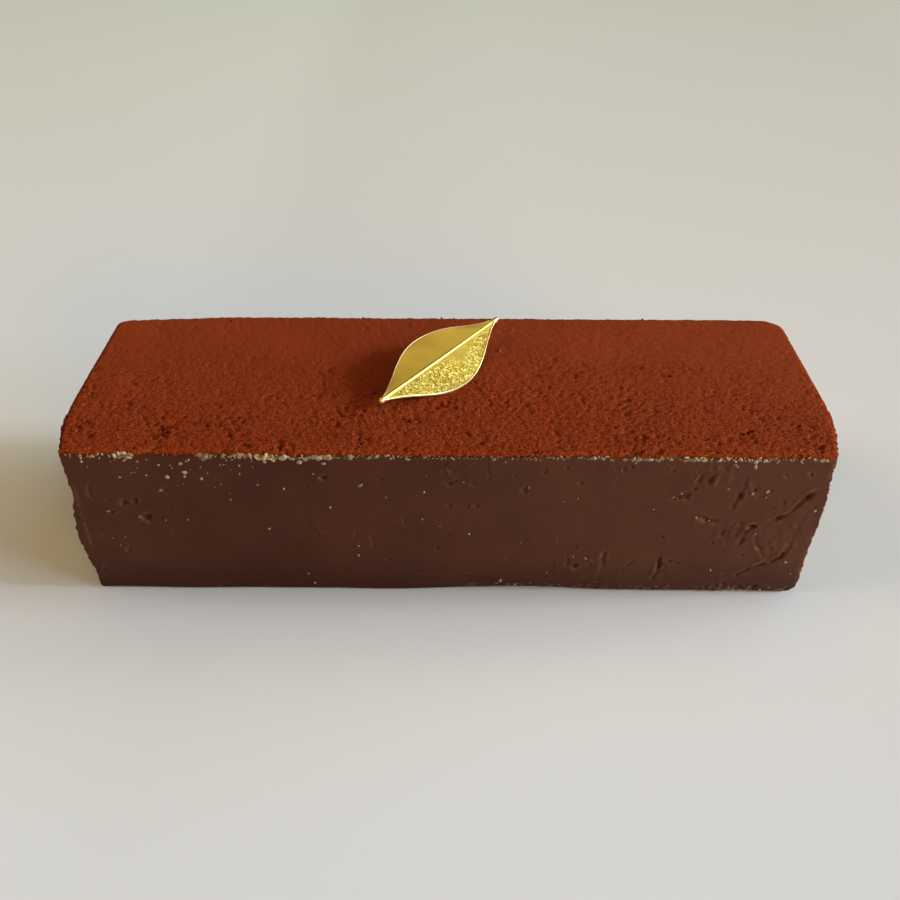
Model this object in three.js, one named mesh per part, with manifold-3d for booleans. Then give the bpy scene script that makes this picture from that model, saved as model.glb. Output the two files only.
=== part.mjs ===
// A chocolate marquise: a long bar of set dark chocolate with gently swept ends, a rough
// dusting of cocoa over its flat top, and one gilded leaf that leans up from the cocoa.
// Units are millimetres. X runs along the bar, the front faces -Y, Z is up, and the
// origin is the middle of the base.

import * as THREE from 'three';
import { mergeVertices } from 'three/addons/utils/BufferGeometryUtils.js';
import Module from 'manifold-3d';

// Overall size.
const LENGTH = 200;
const WIDTH = 69;
const CHOCOLATE_HEIGHT = 46.2;

// Plan: each end sweeps in towards the front on a wide arc and turns a radius at the back,
// and the back edge draws in towards its left end.
const END_ARC_RADIUS = 78;
const LEFT_END = { frontInset: 4.0, backRadius: 3, baseReach: 1.6, baseRise: 2 };
const RIGHT_END = { frontInset: 4.5, backRadius: 7, baseReach: 4.4, baseRise: 3.6 };
const BACK_SWEEP = { depth: 3.0, from: -60, length: 40 };

// Walls: rounded base and top edges, a swelling down each front corner, and a shallow recess
// along the foot of the front.
const BASE_EDGE = { reach: 0.4, rise: 0.7 };
const TOP_EDGE = { reach: 0.35, rise: 0.6 };
const LEFT_SWELLING = { depth: 1.9, from: 4, to: 35 };
const RIGHT_SWELLING = { depth: 0.7, from: 14, to: CHOCOLATE_HEIGHT };
const SWELLING_FADE = 8;
const FOOT_RECESS = { x: 20, halfLength: 36, depth: 1.1, height: 6 };
const WALL_WAVINESS = 0.35;

// Cocoa: mean depth, the height of its clumps, and its thinner rim inside the top's edge.
const COCOA = { depth: 0.75, clump: 0.2, rimInset: 0.1, rimDepth: 0.5, seed: 17 };

// Leaf: its two tips, its greatest half width, and how it lies about its midrib.
const LEAF_LOW_TIP = new THREE.Vector3(-18.3, -16.0, 50.0);
const LEAF_HIGH_TIP = new THREE.Vector3(13.9, 23.4, 53.0);
const LEAF_HALF_WIDTH = 9.9;
const LEAF_LEFT_SHARE = 0.89;
const LEAF_TIP_HALF_WIDTH = 0.5;
const LEAF_THICKNESS = 0.6;
const LEAF_MIDRIB_RISE = 0.35;
const LEAF_ROLL = THREE.MathUtils.degToRad(21.6);
const LEAF_RIDGE = THREE.MathUtils.degToRad(3.9);
const LEAF_WAVE = 0.18;
const LEAF_DIMPLE = { x: 1.4, y: -4.6, turn: THREE.MathUtils.degToRad(42), halfLength: 11, halfWidth: 4.5, depth: 0.5 };

// How finely each surface is divided.
const BODY_COLUMNS = 56;
const BODY_ROWS = 14;
const BODY_LEVELS = [0, 0.3, 1, 2, 3, 6.5, 11, 15.5, 20, 25, 30, 35, 40, 45.6, CHOCOLATE_HEIGHT];
const COCOA_COLUMNS = 68;
const COCOA_ROWS = 24;
const LEAF_STEPS = 28;
const LEAF_STRIPS = 10;

// Hollows torn in the front: where each lies along the bar and above the base, how long
// and how broad it is, how deep, and how far its long axis turns up from the horizontal.
const FRONT_HOLLOWS = [
  { x: -91.2, z: 34.7, long: 4.5, broad: 1.2, deep: 0.5, turn: 80 },
  { x: -83.2, z: 31.1, long: 2.2, broad: 1.7, deep: 0.8, turn: 10 },
  { x: -80.6, z: 31.5, long: 2.2, broad: 2.0, deep: 0.8, turn: 30 },
  { x: -87.4, z: 27.7, long: 4.0, broad: 1.4, deep: 0.5, turn: 25 },
  { x: -78.3, z: 26.0, long: 3.0, broad: 2.6, deep: 1.2, turn: 60 },
  { x: -31.7, z: 39.3, long: 2.0, broad: 1.4, deep: 0.7, turn: 30 },
  { x: -11.5, z: 25.2, long: 3.4, broad: 1.2, deep: 0.5, turn: 80 },
  { x: 1.0, z: 38.2, long: 3.6, broad: 1.6, deep: 0.7, turn: 20 },
  { x: 4.7, z: 30.2, long: 2.2, broad: 1.2, deep: 0.6, turn: 75 },
  { x: 7.3, z: 30.6, long: 2.4, broad: 1.2, deep: 0.6, turn: 65 },
  { x: 19.3, z: 36.1, long: 2.8, broad: 1.6, deep: 0.7, turn: 70 },
  { x: 34.0, z: 9.3, long: 3.2, broad: 2.2, deep: 1.0, turn: 15 },
  { x: 33.7, z: 16.1, long: 3.0, broad: 1.2, deep: 0.6, turn: 85 },
  { x: 41.4, z: 10.7, long: 9.0, broad: 1.4, deep: 0.8, turn: 86 },
  { x: 60.0, z: 34.9, long: 7.0, broad: 2.2, deep: 1.0, turn: 35 },
  { x: 62.8, z: 40.9, long: 5.0, broad: 1.4, deep: 0.7, turn: 95 },
  { x: 66.4, z: 26.3, long: 6.0, broad: 1.4, deep: 0.8, turn: -18 },
  { x: 55.8, z: 20.1, long: 3.0, broad: 1.6, deep: 0.7, turn: -50 },
  { x: 57.0, z: 8.7, long: 5.0, broad: 1.6, deep: 0.8, turn: 80 },
  { x: 74.0, z: 35.7, long: 9.5, broad: 1.3, deep: 0.7, turn: 78 },
  { x: 79.2, z: 24.1, long: 3.6, broad: 1.6, deep: 1.4, turn: -5 },
  { x: 77.4, z: 20.3, long: 6.0, broad: 1.2, deep: 0.8, turn: 80 },
  { x: 71.8, z: 21.5, long: 3.6, broad: 1.8, deep: 0.7, turn: 75 },
  { x: 85.0, z: 26.9, long: 6.5, broad: 1.4, deep: 0.8, turn: 33 },
  { x: 90.4, z: 32.9, long: 9.5, broad: 1.4, deep: 0.8, turn: 56 },
  { x: 81.0, z: 8.3, long: 6.5, broad: 1.4, deep: 0.7, turn: 36 },
  { x: 87.2, z: 12.5, long: 7.5, broad: 1.3, deep: 0.7, turn: 50 },
];

// The same kind of hollows on the back and the ends, spread by a seeded draw.
const BACK_HOLLOWS = { count: 8, seed: 5 };
const END_HOLLOWS = { count: 3, seed: 11 };

const CHOCOLATE = new THREE.MeshStandardMaterial({ color: 0x40261c, roughness: 0.5, metalness: 0 });
const COCOA_POWDER = new THREE.MeshStandardMaterial({ color: 0x6f2a12, roughness: 1, metalness: 0 });
const GILT = new THREE.MeshStandardMaterial({ color: 0xc8a24a, roughness: 0.35, metalness: 0.8 });

// A steady draw between 0 and 1 for a whole number and a seed.
function draw(index, seed) {
  const value = Math.sin(index * 127.1 + seed * 311.7) * 43758.5453;
  return value - Math.floor(value);
}

// The slow unevenness of a hand-finished surface, from 0 to 1.
function unevenness(s, t) {
  const sum = Math.sin(s * 0.11 + t * 0.07) + 0.6 * Math.sin(s * 0.23 - t * 0.17 + 2.1);
  return 0.5 + sum / 3.2;
}

// How far a rounded edge lies back at a distance from it, for a quarter ellipse.
function roundedEdge(distance, reach, rise) {
  if (distance >= rise) return 0;
  return reach * (1 - Math.sqrt(1 - (1 - distance / rise) ** 2));
}

// A smooth hump of height 1 between two places, 0 outside them.
function hump(value, from, to) {
  if (value <= from || value >= to) return 0;
  return Math.sin(Math.PI * (value - from) / (to - from)) ** 2;
}

// How far an end lies inside its furthest point, at a place y across the bar.
function endInset(y, end) {
  const arcStart = -WIDTH / 2 + Math.sqrt(2 * END_ARC_RADIUS * end.frontInset - end.frontInset ** 2);
  const cornerStart = WIDTH / 2 - end.backRadius;
  if (y < arcStart) return END_ARC_RADIUS - Math.sqrt(END_ARC_RADIUS ** 2 - (arcStart - y) ** 2);
  if (y > cornerStart) return end.backRadius - Math.sqrt(end.backRadius ** 2 - (y - cornerStart) ** 2);
  return 0;
}

// How far the back edge draws in at a place x along the bar.
function backSweep(x) {
  const share = THREE.MathUtils.clamp((BACK_SWEEP.from - x) / BACK_SWEEP.length, 0, 1);
  return BACK_SWEEP.depth * share ** 1.6;
}

// The bar at a height: u runs from the left end to the right, v from the front to the back.
function barPoint(u, v, z) {
  const y = WIDTH * (v - 0.5);
  const frontness = (1 - v) ** SWELLING_FADE;
  const leftBase = roundedEdge(z, LEFT_END.baseReach, LEFT_END.baseRise);
  const rightBase = roundedEdge(z, RIGHT_END.baseReach, RIGHT_END.baseRise);
  const leftSwelling = LEFT_SWELLING.depth * hump(z, LEFT_SWELLING.from, LEFT_SWELLING.to);
  const rightSwelling = RIGHT_SWELLING.depth * hump(z, RIGHT_SWELLING.from, RIGHT_SWELLING.to);
  const left = -LENGTH / 2 + endInset(y, LEFT_END) + leftBase - frontness * leftSwelling;
  const right = LENGTH / 2 - endInset(y, RIGHT_END) - rightBase + frontness * rightSwelling;
  const x = left + (right - left) * u;

  const edge = roundedEdge(z, BASE_EDGE.reach, BASE_EDGE.rise)
    + roundedEdge(CHOCOLATE_HEIGHT - z, TOP_EDGE.reach, TOP_EDGE.rise);
  const wave = WALL_WAVINESS * unevenness(x, z);
  const footSpan = [FOOT_RECESS.x - FOOT_RECESS.halfLength, FOOT_RECESS.x + FOOT_RECESS.halfLength];
  const foot = FOOT_RECESS.depth * hump(x, ...footSpan) * Math.max(0, 1 - z / FOOT_RECESS.height);
  const fromFront = edge + wave + foot;
  const fromBack = edge + wave + backSweep(x);
  return new THREE.Vector3(x, y + fromFront * (1 - v) ** 2 - fromBack * v ** 2, z);
}

// Places from front to back, closer together towards the back corners.
function rowPlace(row, rows) {
  return 1 - (1 - row / rows) ** 1.6;
}

// The closed loop of (u, v) places round the bar: front, right end, back, left end.
function loopPlaces(columns, rows) {
  const places = [];
  for (let i = 0; i < columns; i++) places.push([i / columns, 0]);
  for (let j = 0; j < rows; j++) places.push([1, rowPlace(j, rows)]);
  for (let i = columns; i > 0; i--) places.push([i / columns, 1]);
  for (let j = rows; j > 0; j--) places.push([0, rowPlace(j, rows)]);
  return places;
}

// Triangles over the flat polygon inside a loop that starts at index first, facing up:
// strips from front to back, and a fan of both end columns.
function flatCap(first, columns, rows) {
  const count = 2 * (columns + rows);
  const front = (i) => first + i;
  const right = (j) => first + columns + j;
  const back = (i) => first + 2 * columns + rows - i;
  const left = (j) => first + (count - j) % count;
  const middle = Math.floor(rows / 2);
  const triangles = [];
  for (let i = 1; i < columns - 1; i++) {
    triangles.push([front(i), front(i + 1), back(i + 1)], [front(i), back(i + 1), back(i)]);
  }
  for (let j = 0; j < rows; j++) {
    const leftApex = j < middle ? front(1) : back(1);
    const rightApex = j < middle ? front(columns - 1) : back(columns - 1);
    triangles.push([left(j), leftApex, left(j + 1)], [right(j), right(j + 1), rightApex]);
  }
  triangles.push([left(middle), front(1), back(1)]);
  triangles.push([right(middle), back(columns - 1), front(columns - 1)]);
  return triangles;
}

// A mesh geometry from points and triangles.
function geometryOf(points, triangles) {
  const geometry = new THREE.BufferGeometry();
  geometry.setAttribute('position', new THREE.Float32BufferAttribute(points.flatMap((p) => p.toArray()), 3));
  geometry.setIndex(triangles.flat());
  geometry.computeVertexNormals();
  return geometry;
}

// The whole bar before any hollow: one loop of points at each level, capped flat.
function barGeometry() {
  const places = loopPlaces(BODY_COLUMNS, BODY_ROWS);
  const count = places.length;
  const points = BODY_LEVELS.flatMap((z) => places.map(([u, v]) => barPoint(u, v, z)));
  const triangles = flatCap(0, BODY_COLUMNS, BODY_ROWS).map(([a, b, c]) => [a, c, b]);
  for (let level = 0; level + 1 < BODY_LEVELS.length; level++) {
    for (let k = 0; k < count; k++) {
      const low = level * count + k;
      const lowNext = level * count + (k + 1) % count;
      triangles.push([low, lowNext, lowNext + count], [low, lowNext + count, low + count]);
    }
  }
  triangles.push(...flatCap((BODY_LEVELS.length - 1) * count, BODY_COLUMNS, BODY_ROWS));
  return geometryOf(points, triangles);
}

// One hollow: a flattened ball whose middle lies on a wall. Heading 0 faces the front wall.
function hollowGeometry({ x, y, z, long, broad, deep, turn, heading }) {
  const ball = new THREE.SphereGeometry(1, 8, 6);
  ball.scale(long / 2, deep, broad / 2);
  ball.rotateY(THREE.MathUtils.degToRad(-turn));
  ball.rotateZ(heading);
  ball.translate(x, y, z);
  return ball;
}

// Hollows along one wall, drawn between two places on it.
function drawnHollows({ count, seed }, start, end, heading) {
  return Array.from({ length: count }, (_, k) => {
    const place = start.clone().lerp(end, (k + draw(k, seed)) / count);
    return {
      x: place.x,
      y: place.y,
      z: 8 + 30 * draw(k + 20, seed),
      long: 2.5 + 4 * draw(k + 40, seed),
      broad: 1.4 + 0.8 * draw(k + 60, seed),
      deep: 0.6 + 0.5 * draw(k + 80, seed),
      turn: 180 * draw(k + 100, seed),
      heading,
    };
  });
}

function allHollows() {
  const front = FRONT_HOLLOWS.map((hollow) => {
    const wall = barPoint((hollow.x + LENGTH / 2) / LENGTH, 0, hollow.z);
    return { ...hollow, y: wall.y, heading: 0 };
  });
  const inside = WALL_WAVINESS / 2;
  const backLeft = new THREE.Vector3(-55, WIDTH / 2 - inside, 0);
  const backRight = new THREE.Vector3(88, WIDTH / 2 - inside, 0);
  const leftEnd = [new THREE.Vector3(-LENGTH / 2, -6, 0), new THREE.Vector3(-LENGTH / 2, 28, 0)];
  const rightEnd = [new THREE.Vector3(LENGTH / 2, -6, 0), new THREE.Vector3(LENGTH / 2, 24, 0)];
  return [
    ...front,
    ...drawnHollows(BACK_HOLLOWS, backLeft, backRight, 0),
    ...drawnHollows(END_HOLLOWS, ...leftEnd, Math.PI / 2),
    ...drawnHollows({ ...END_HOLLOWS, seed: END_HOLLOWS.seed + 1 }, ...rightEnd, Math.PI / 2),
  ];
}

const wasm = await Module();
wasm.setup();

// A closed geometry as a solid, and a solid back as a geometry.
function solidOf(geometry) {
  const bare = geometry.clone();
  bare.deleteAttribute('normal');
  bare.deleteAttribute('uv');
  const merged = mergeVertices(bare, 1e-4);
  return new wasm.Manifold(new wasm.Mesh({
    numProp: 3,
    vertProperties: new Float32Array(merged.attributes.position.array),
    triVerts: new Uint32Array(merged.index.array),
  }));
}

function geometryOfSolid(solid) {
  const { vertProperties, triVerts } = solid.getMesh();
  const geometry = new THREE.BufferGeometry();
  geometry.setAttribute('position', new THREE.BufferAttribute(new Float32Array(vertProperties), 3));
  geometry.setIndex(new THREE.BufferAttribute(new Uint32Array(triVerts), 1));
  geometry.computeVertexNormals();
  return geometry;
}

function chocolateGeometry() {
  const cuts = allHollows().map((hollow) => solidOf(hollowGeometry(hollow)));
  const bar = cuts.reduce((solid, cut) => solid.subtract(cut), solidOf(barGeometry()));
  return geometryOfSolid(bar);
}

// How deep a place lies in the dimple that the leaf's lower edge rests in: 1 in its middle.
function inDimple(point) {
  const [x, y] = [point.x - LEAF_DIMPLE.x, point.y - LEAF_DIMPLE.y];
  const along = (x * Math.cos(LEAF_DIMPLE.turn) + y * Math.sin(LEAF_DIMPLE.turn)) / LEAF_DIMPLE.halfLength;
  const across = (y * Math.cos(LEAF_DIMPLE.turn) - x * Math.sin(LEAF_DIMPLE.turn)) / LEAF_DIMPLE.halfWidth;
  return Math.max(0, 1 - along ** 2 - across ** 2);
}

// The top of the cocoa: clumps inside, a thinner rim, and a dimple under the leaf's edge.
function cocoaTop(point, column, row) {
  const atRim = column === 0 || row === 0 || column === COCOA_COLUMNS || row === COCOA_ROWS;
  if (atRim) return CHOCOLATE_HEIGHT + COCOA.rimDepth;
  const dimple = inDimple(point);
  const clump = COCOA.clump * (2 * draw(column + row * (COCOA_COLUMNS + 1), COCOA.seed) - 1);
  return CHOCOLATE_HEIGHT + COCOA.depth + clump * (1 - dimple) - LEAF_DIMPLE.depth * dimple;
}

// The dusting: a grid of clumps over a flat underside that lies on the chocolate.
function cocoaGeometry() {
  const inner = (u, v) => {
    const point = barPoint(u, v, CHOCOLATE_HEIGHT);
    point.x *= 1 - 2 * COCOA.rimInset / LENGTH;
    point.y *= 1 - 2 * COCOA.rimInset / WIDTH;
    return point;
  };
  const under = loopPlaces(COCOA_COLUMNS, COCOA_ROWS).map(([u, v]) => inner(u, v));
  const points = [...under];
  const gridIndex = (i, j) => under.length + j * (COCOA_COLUMNS + 1) + i;
  for (let j = 0; j <= COCOA_ROWS; j++) {
    for (let i = 0; i <= COCOA_COLUMNS; i++) {
      const point = inner(i / COCOA_COLUMNS, rowPlace(j, COCOA_ROWS));
      points.push(point.setZ(cocoaTop(point, i, j)));
    }
  }
  const triangles = flatCap(0, COCOA_COLUMNS, COCOA_ROWS).map(([a, b, c]) => [a, c, b]);
  for (let j = 0; j < COCOA_ROWS; j++) {
    for (let i = 0; i < COCOA_COLUMNS; i++) {
      const [a, b, c, d] = [gridIndex(i, j), gridIndex(i + 1, j), gridIndex(i + 1, j + 1), gridIndex(i, j + 1)];
      triangles.push([a, b, c], [a, c, d]);
    }
  }
  const rim = [];
  for (let i = 0; i < COCOA_COLUMNS; i++) rim.push(gridIndex(i, 0));
  for (let j = 0; j < COCOA_ROWS; j++) rim.push(gridIndex(COCOA_COLUMNS, j));
  for (let i = COCOA_COLUMNS; i > 0; i--) rim.push(gridIndex(i, COCOA_ROWS));
  for (let j = COCOA_ROWS; j > 0; j--) rim.push(gridIndex(0, j));
  rim.forEach((top, k) => {
    const next = (k + 1) % rim.length;
    triangles.push([k, next, rim[next]], [k, rim[next], top]);
  });
  return geometryOf(points, triangles);
}

// The leaf's own directions: along the midrib, to its left across the blade, and out of it.
function leafFrame() {
  const along = LEAF_HIGH_TIP.clone().sub(LEAF_LOW_TIP).normalize();
  const level = new THREE.Vector3(0, 0, 1).cross(along).normalize();
  const out = along.clone().cross(level);
  const across = level.clone().multiplyScalar(Math.cos(LEAF_ROLL)).addScaledVector(out, Math.sin(LEAF_ROLL));
  const face = level.clone().multiplyScalar(-Math.sin(LEAF_ROLL)).addScaledVector(out, Math.cos(LEAF_ROLL));
  return { across, face };
}

// The width of one half at a share s of the leaf's length: drawn out to a point at both tips,
// and a little narrower on the left of the midrib.
function leafHalfWidth(s, t) {
  const share = t > 0 ? LEAF_LEFT_SHARE : 1;
  return LEAF_TIP_HALF_WIDTH + share * LEAF_HALF_WIDTH * Math.sin(Math.PI * s ** 0.96) ** 1.57;
}

// A point of the leaf: s along it, t across it from -1 (right) to 1 (left), on either face.
function leafPoint(s, t, side, { across, face }) {
  const reach = t * leafHalfWidth(s, t);
  const midrib = LEAF_MIDRIB_RISE * Math.max(0, 1 - Math.abs(reach) / 0.9);
  const wave = LEAF_WAVE * Math.sin(2 * Math.PI * 3 * s + 1.5 * t) * t ** 2;
  const height = midrib + wave - Math.sin(LEAF_RIDGE) * Math.abs(reach) + side * LEAF_THICKNESS / 2;
  return LEAF_LOW_TIP.clone().lerp(LEAF_HIGH_TIP, s)
    .addScaledVector(across, reach * Math.cos(LEAF_RIDGE))
    .addScaledVector(face, height);
}

// The leaf: the same grid of triangles on both faces, joined round its edge.
function leafGeometry() {
  const frame = leafFrame();
  const perFace = (LEAF_STEPS + 1) * (LEAF_STRIPS + 1);
  const index = (i, j) => i * (LEAF_STRIPS + 1) + j;
  const points = [];
  for (const side of [1, -1]) {
    for (let i = 0; i <= LEAF_STEPS; i++) {
      for (let j = 0; j <= LEAF_STRIPS; j++) {
        points.push(leafPoint(i / LEAF_STEPS, 2 * j / LEAF_STRIPS - 1, side, frame));
      }
    }
  }
  const triangles = [];
  for (let i = 0; i < LEAF_STEPS; i++) {
    for (let j = 0; j < LEAF_STRIPS; j++) {
      const [a, b, c, d] = [index(i, j), index(i + 1, j), index(i + 1, j + 1), index(i, j + 1)];
      for (const [p, q, r] of [[a, b, c], [a, c, d]]) {
        triangles.push([p, q, r], [p + perFace, r + perFace, q + perFace]);
      }
    }
  }
  const edge = [];
  for (let i = 0; i < LEAF_STEPS; i++) edge.push(index(i, 0));
  for (let j = 0; j < LEAF_STRIPS; j++) edge.push(index(LEAF_STEPS, j));
  for (let i = LEAF_STEPS; i > 0; i--) edge.push(index(i, LEAF_STRIPS));
  for (let j = LEAF_STRIPS; j > 0; j--) edge.push(index(0, j));
  edge.forEach((top, k) => {
    const next = edge[(k + 1) % edge.length];
    triangles.push([top, top + perFace, next + perFace], [top, next + perFace, next]);
  });
  return geometryOf(points, triangles);
}

function namedMesh(name, geometry, material) {
  const mesh = new THREE.Mesh(geometry, material);
  mesh.name = name;
  return mesh;
}

const marquise = new THREE.Group();
marquise.add(namedMesh('marquise', chocolateGeometry(), CHOCOLATE));
marquise.add(namedMesh('cocoa_coat', cocoaGeometry(), COCOA_POWDER));
marquise.add(namedMesh('gold_leaf', leafGeometry(), GILT));

export default marquise;
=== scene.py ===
import math

import bmesh
import bpy
import numpy as np
from mathutils import Matrix, Vector


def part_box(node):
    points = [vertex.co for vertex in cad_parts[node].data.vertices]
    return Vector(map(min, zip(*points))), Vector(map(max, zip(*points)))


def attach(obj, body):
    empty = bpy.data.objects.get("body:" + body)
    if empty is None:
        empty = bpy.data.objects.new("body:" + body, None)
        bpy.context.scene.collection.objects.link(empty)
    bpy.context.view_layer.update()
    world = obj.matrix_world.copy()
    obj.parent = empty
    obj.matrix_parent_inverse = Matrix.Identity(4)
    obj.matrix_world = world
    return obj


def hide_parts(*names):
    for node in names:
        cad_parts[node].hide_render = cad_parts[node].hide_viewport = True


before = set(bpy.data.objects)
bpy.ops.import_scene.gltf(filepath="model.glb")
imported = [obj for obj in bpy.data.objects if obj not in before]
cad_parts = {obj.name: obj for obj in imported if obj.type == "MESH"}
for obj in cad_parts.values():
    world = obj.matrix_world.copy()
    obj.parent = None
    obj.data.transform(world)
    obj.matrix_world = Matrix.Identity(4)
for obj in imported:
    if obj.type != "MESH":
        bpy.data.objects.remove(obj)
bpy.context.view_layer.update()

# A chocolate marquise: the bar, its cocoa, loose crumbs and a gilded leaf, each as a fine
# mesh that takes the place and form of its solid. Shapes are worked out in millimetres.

MM = 0.001

# The bar's form, as in the solids.
LENGTH = 200.0
WIDTH = 69.0
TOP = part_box("marquise")[1][2] / MM
END_ARC_RADIUS = 78.0
LEFT_END = {"side": -1, "front_inset": 4.0, "back_radius": 3.0, "base_reach": 1.6, "base_rise": 2.0,
            "swelling": 1.9, "swelling_low": 4.0, "swelling_high": 35.0}
RIGHT_END = {"side": 1, "front_inset": 4.5, "back_radius": 7.0, "base_reach": 4.4, "base_rise": 3.6,
             "swelling": 0.7, "swelling_low": 14.0, "swelling_high": 46.2}
BACK_SWEEP = {"depth": 3.0, "start": -60.0, "length": 40.0}
BASE_EDGE = {"reach": 0.4, "rise": 0.7}
TOP_EDGE = {"reach": 0.35, "rise": 0.6}
SWELLING_FADE = 8
FOOT_RECESS = {"x": 20.0, "half_length": 36.0, "depth": 1.1, "height": 6.0}
WALL_WAVINESS = 0.35

# The cocoa and the leaf, as in the solids, but for the dimple that the leaf rests in: here
# it is shallower, so that the leaf touches the cocoa.
COCOA_DEPTH = 0.75
COCOA_RIM_INSET = 0.1
COCOA_END_REACH = 0.25
LEAF_LOW_TIP = np.array([-18.3, -16.0, 50.0])
LEAF_HIGH_TIP = np.array([13.9, 23.4, 53.0])
LEAF_HALF_WIDTH = 9.9
LEAF_THICKNESS = 0.6
LEAF_ROLL = math.radians(21.6)
LEAF_RIDGE = math.radians(3.9)
LEAF_LEFT_SHARE = 0.89
LEAF_REST = {"x": 1.4, "y": -4.6, "turn": math.radians(42), "half_length": 11.0,
             "half_width": 4.5, "depth": 0.2}
LEAF_LOW_KNOB = {"radius": 1.0, "half_width": 0.68}
LEAF_HIGH_KNOB = {"radius": 1.6, "half_width": 0.70}

# Camera and light.
CAMERA_LENS = 37.0
CAMERA_SENSOR = 36.0
CAMERA_PLACE = (0.1, -214.7, 185.6)
CAMERA_PITCH = math.radians(37.25)
CAMERA_YAW = math.radians(0.01)
CAMERA_ROLL = math.radians(0.37)
KEY = {"azimuth": 0.0, "elevation": 22.0, "distance": 3.0, "size": 0.6, "watts": 85.0,
       "colour": (0.80, 0.88, 1.0)}
# The rest of the room: its dim surrounding, the plain backdrop that the camera sees, and
# soft lights by direction, angular reach and colour.
ROOM_AMBIENT = (0.012, 0.008, 0.005)
BACKDROP = (0.58, 0.57, 0.53)
ROOM_LIGHTS = [
    {"azimuth": 16.0, "elevation": 9.0, "reach": 20.0, "colour": (19.5, 21.8, 20.4)},
    {"azimuth": -20.0, "elevation": 15.0, "reach": 20.0, "colour": (10.2, 13.6, 17.8)},
    {"azimuth": -60.0, "elevation": 10.0, "reach": 22.0, "colour": (16.7, 10.8, 1.9)},
    {"azimuth": 100.0, "elevation": 70.0, "reach": 32.0, "colour": (1.30, 0.97, 0.25)},
    {"azimuth": 180.0, "elevation": 45.0, "reach": 22.0, "colour": (6.2, 5.05, 4.4)},
    {"azimuth": 44.0, "elevation": 48.0, "reach": 18.0, "colour": (3.35, 3.8, 3.9)},
]


# ---- Noise and simple curves, all on numpy arrays ----

FAR = 1e9


def cell_draw(ix, iy, seed):
    """A steady draw between 0 and 1 for each whole-number cell."""
    value = np.sin(ix * 127.1 + iy * 311.7 + seed * 74.7) * 43758.5453
    return value - np.floor(value)


def picks(k, count, seed):
    """Steady draws between 0 and 1 for one of many small things."""
    return [float(cell_draw(k, n, seed)) for n in range(count)]


def noise(x, y, seed):
    """Smooth noise from -1 to 1 with features one unit apart."""
    ix, iy = np.floor(x), np.floor(y)
    fx, fy = x - ix, y - iy
    fx, fy = fx * fx * (3 - 2 * fx), fy * fy * (3 - 2 * fy)
    low = cell_draw(ix, iy, seed) * (1 - fx) + cell_draw(ix + 1, iy, seed) * fx
    high = cell_draw(ix, iy + 1, seed) * (1 - fx) + cell_draw(ix + 1, iy + 1, seed) * fx
    return 2 * (low * (1 - fy) + high * fy) - 1


def fractal(x, y, seed, octaves=3):
    """Noise over several scales, about -1 to 1."""
    total = 0.0
    for octave in range(octaves):
        scale = 2 ** octave
        total = total + noise(x * scale, y * scale, seed + octave) / scale
    return total / (2 - 2 ** (1 - octaves))


def cells_around(x, y, pitch):
    """The nine lattice cells at and around each point."""
    cell_x, cell_y = np.floor(x / pitch), np.floor(y / pitch)
    for step_x in (-1, 0, 1):
        for step_y in (-1, 0, 1):
            yield cell_x + step_x, cell_y + step_y


def grains(x, y, pitch, seed):
    """Rounded grains of uneven size on a jittered lattice: their tops, in grain pitches."""
    gap_level = -0.45
    bend_x = x + 0.35 * pitch * noise(x / pitch * 1.3, y / pitch * 1.3, seed + 7)
    bend_y = y + 0.35 * pitch * noise(x / pitch * 1.3, y / pitch * 1.3, seed + 8)
    top = np.full(np.shape(x), gap_level)
    for cx, cy in cells_around(bend_x, bend_y, pitch):
        place_x = (cx + 0.1 + 0.8 * cell_draw(cx, cy, seed)) * pitch
        place_y = (cy + 0.1 + 0.8 * cell_draw(cx, cy, seed + 1)) * pitch
        radius = pitch * (0.45 + 0.4 * cell_draw(cx, cy, seed + 2))
        lift = 0.5 * (cell_draw(cx, cy, seed + 3) - 0.6)
        near = ((bend_x - place_x) ** 2 + (bend_y - place_y) ** 2) / radius ** 2
        dome = lift + 0.7 * radius / pitch * np.sqrt(np.clip(1 - near, 0, None))
        top = np.maximum(top, np.where(near < 1, dome, gap_level))
    return top


def facets(x, y, pitch, slope, seed):
    """Small flat facets that lean every way: their height over a grid of points."""
    nearest = np.full(np.shape(x), FAR)
    height = np.zeros(np.shape(x))
    for cx, cy in cells_around(x, y, pitch):
        off_x = x - (cx + cell_draw(cx, cy, seed)) * pitch
        off_y = y - (cy + cell_draw(cx, cy, seed + 1)) * pitch
        distance = off_x ** 2 + off_y ** 2
        lean = 2 * np.pi * cell_draw(cx, cy, seed + 2)
        steep = slope * np.sqrt(cell_draw(cx, cy, seed + 3))
        closer = distance < nearest
        nearest = np.where(closer, distance, nearest)
        height = np.where(closer, steep * (off_x * np.cos(lean) + off_y * np.sin(lean)), height)
    return height


def hump(value, low, high):
    """A smooth hump of height 1 between two places, 0 outside them."""
    share = np.clip((value - low) / (high - low), 0, 1)
    return np.sin(np.pi * share) ** 2


def step(value, low, high):
    """A smooth step from 0 at low to 1 at high, which may be the smaller of the two."""
    share = np.clip((value - low) / (high - low), 0, 1)
    return share * share * (3 - 2 * share)


def bell(distance, reach):
    """A bell curve of height 1 over distance 0."""
    return np.exp(-(distance / reach) ** 2)


def rounded_edge(distance, reach, rise):
    """How far a rounded edge lies back at a distance from it, for a quarter ellipse."""
    share = np.clip(1 - distance / rise, 0, 1)
    return reach * (1 - np.sqrt(1 - share ** 2))


# ---- The bar's form ----

def one(value):
    """A single value as an array."""
    return np.full(1, value)


def unevenness(s, t):
    """The slow unevenness of a hand-finished surface, from 0 to 1."""
    return 0.5 + (np.sin(s * 0.11 + t * 0.07) + 0.6 * np.sin(s * 0.23 - t * 0.17 + 2.1)) / 3.2


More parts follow.
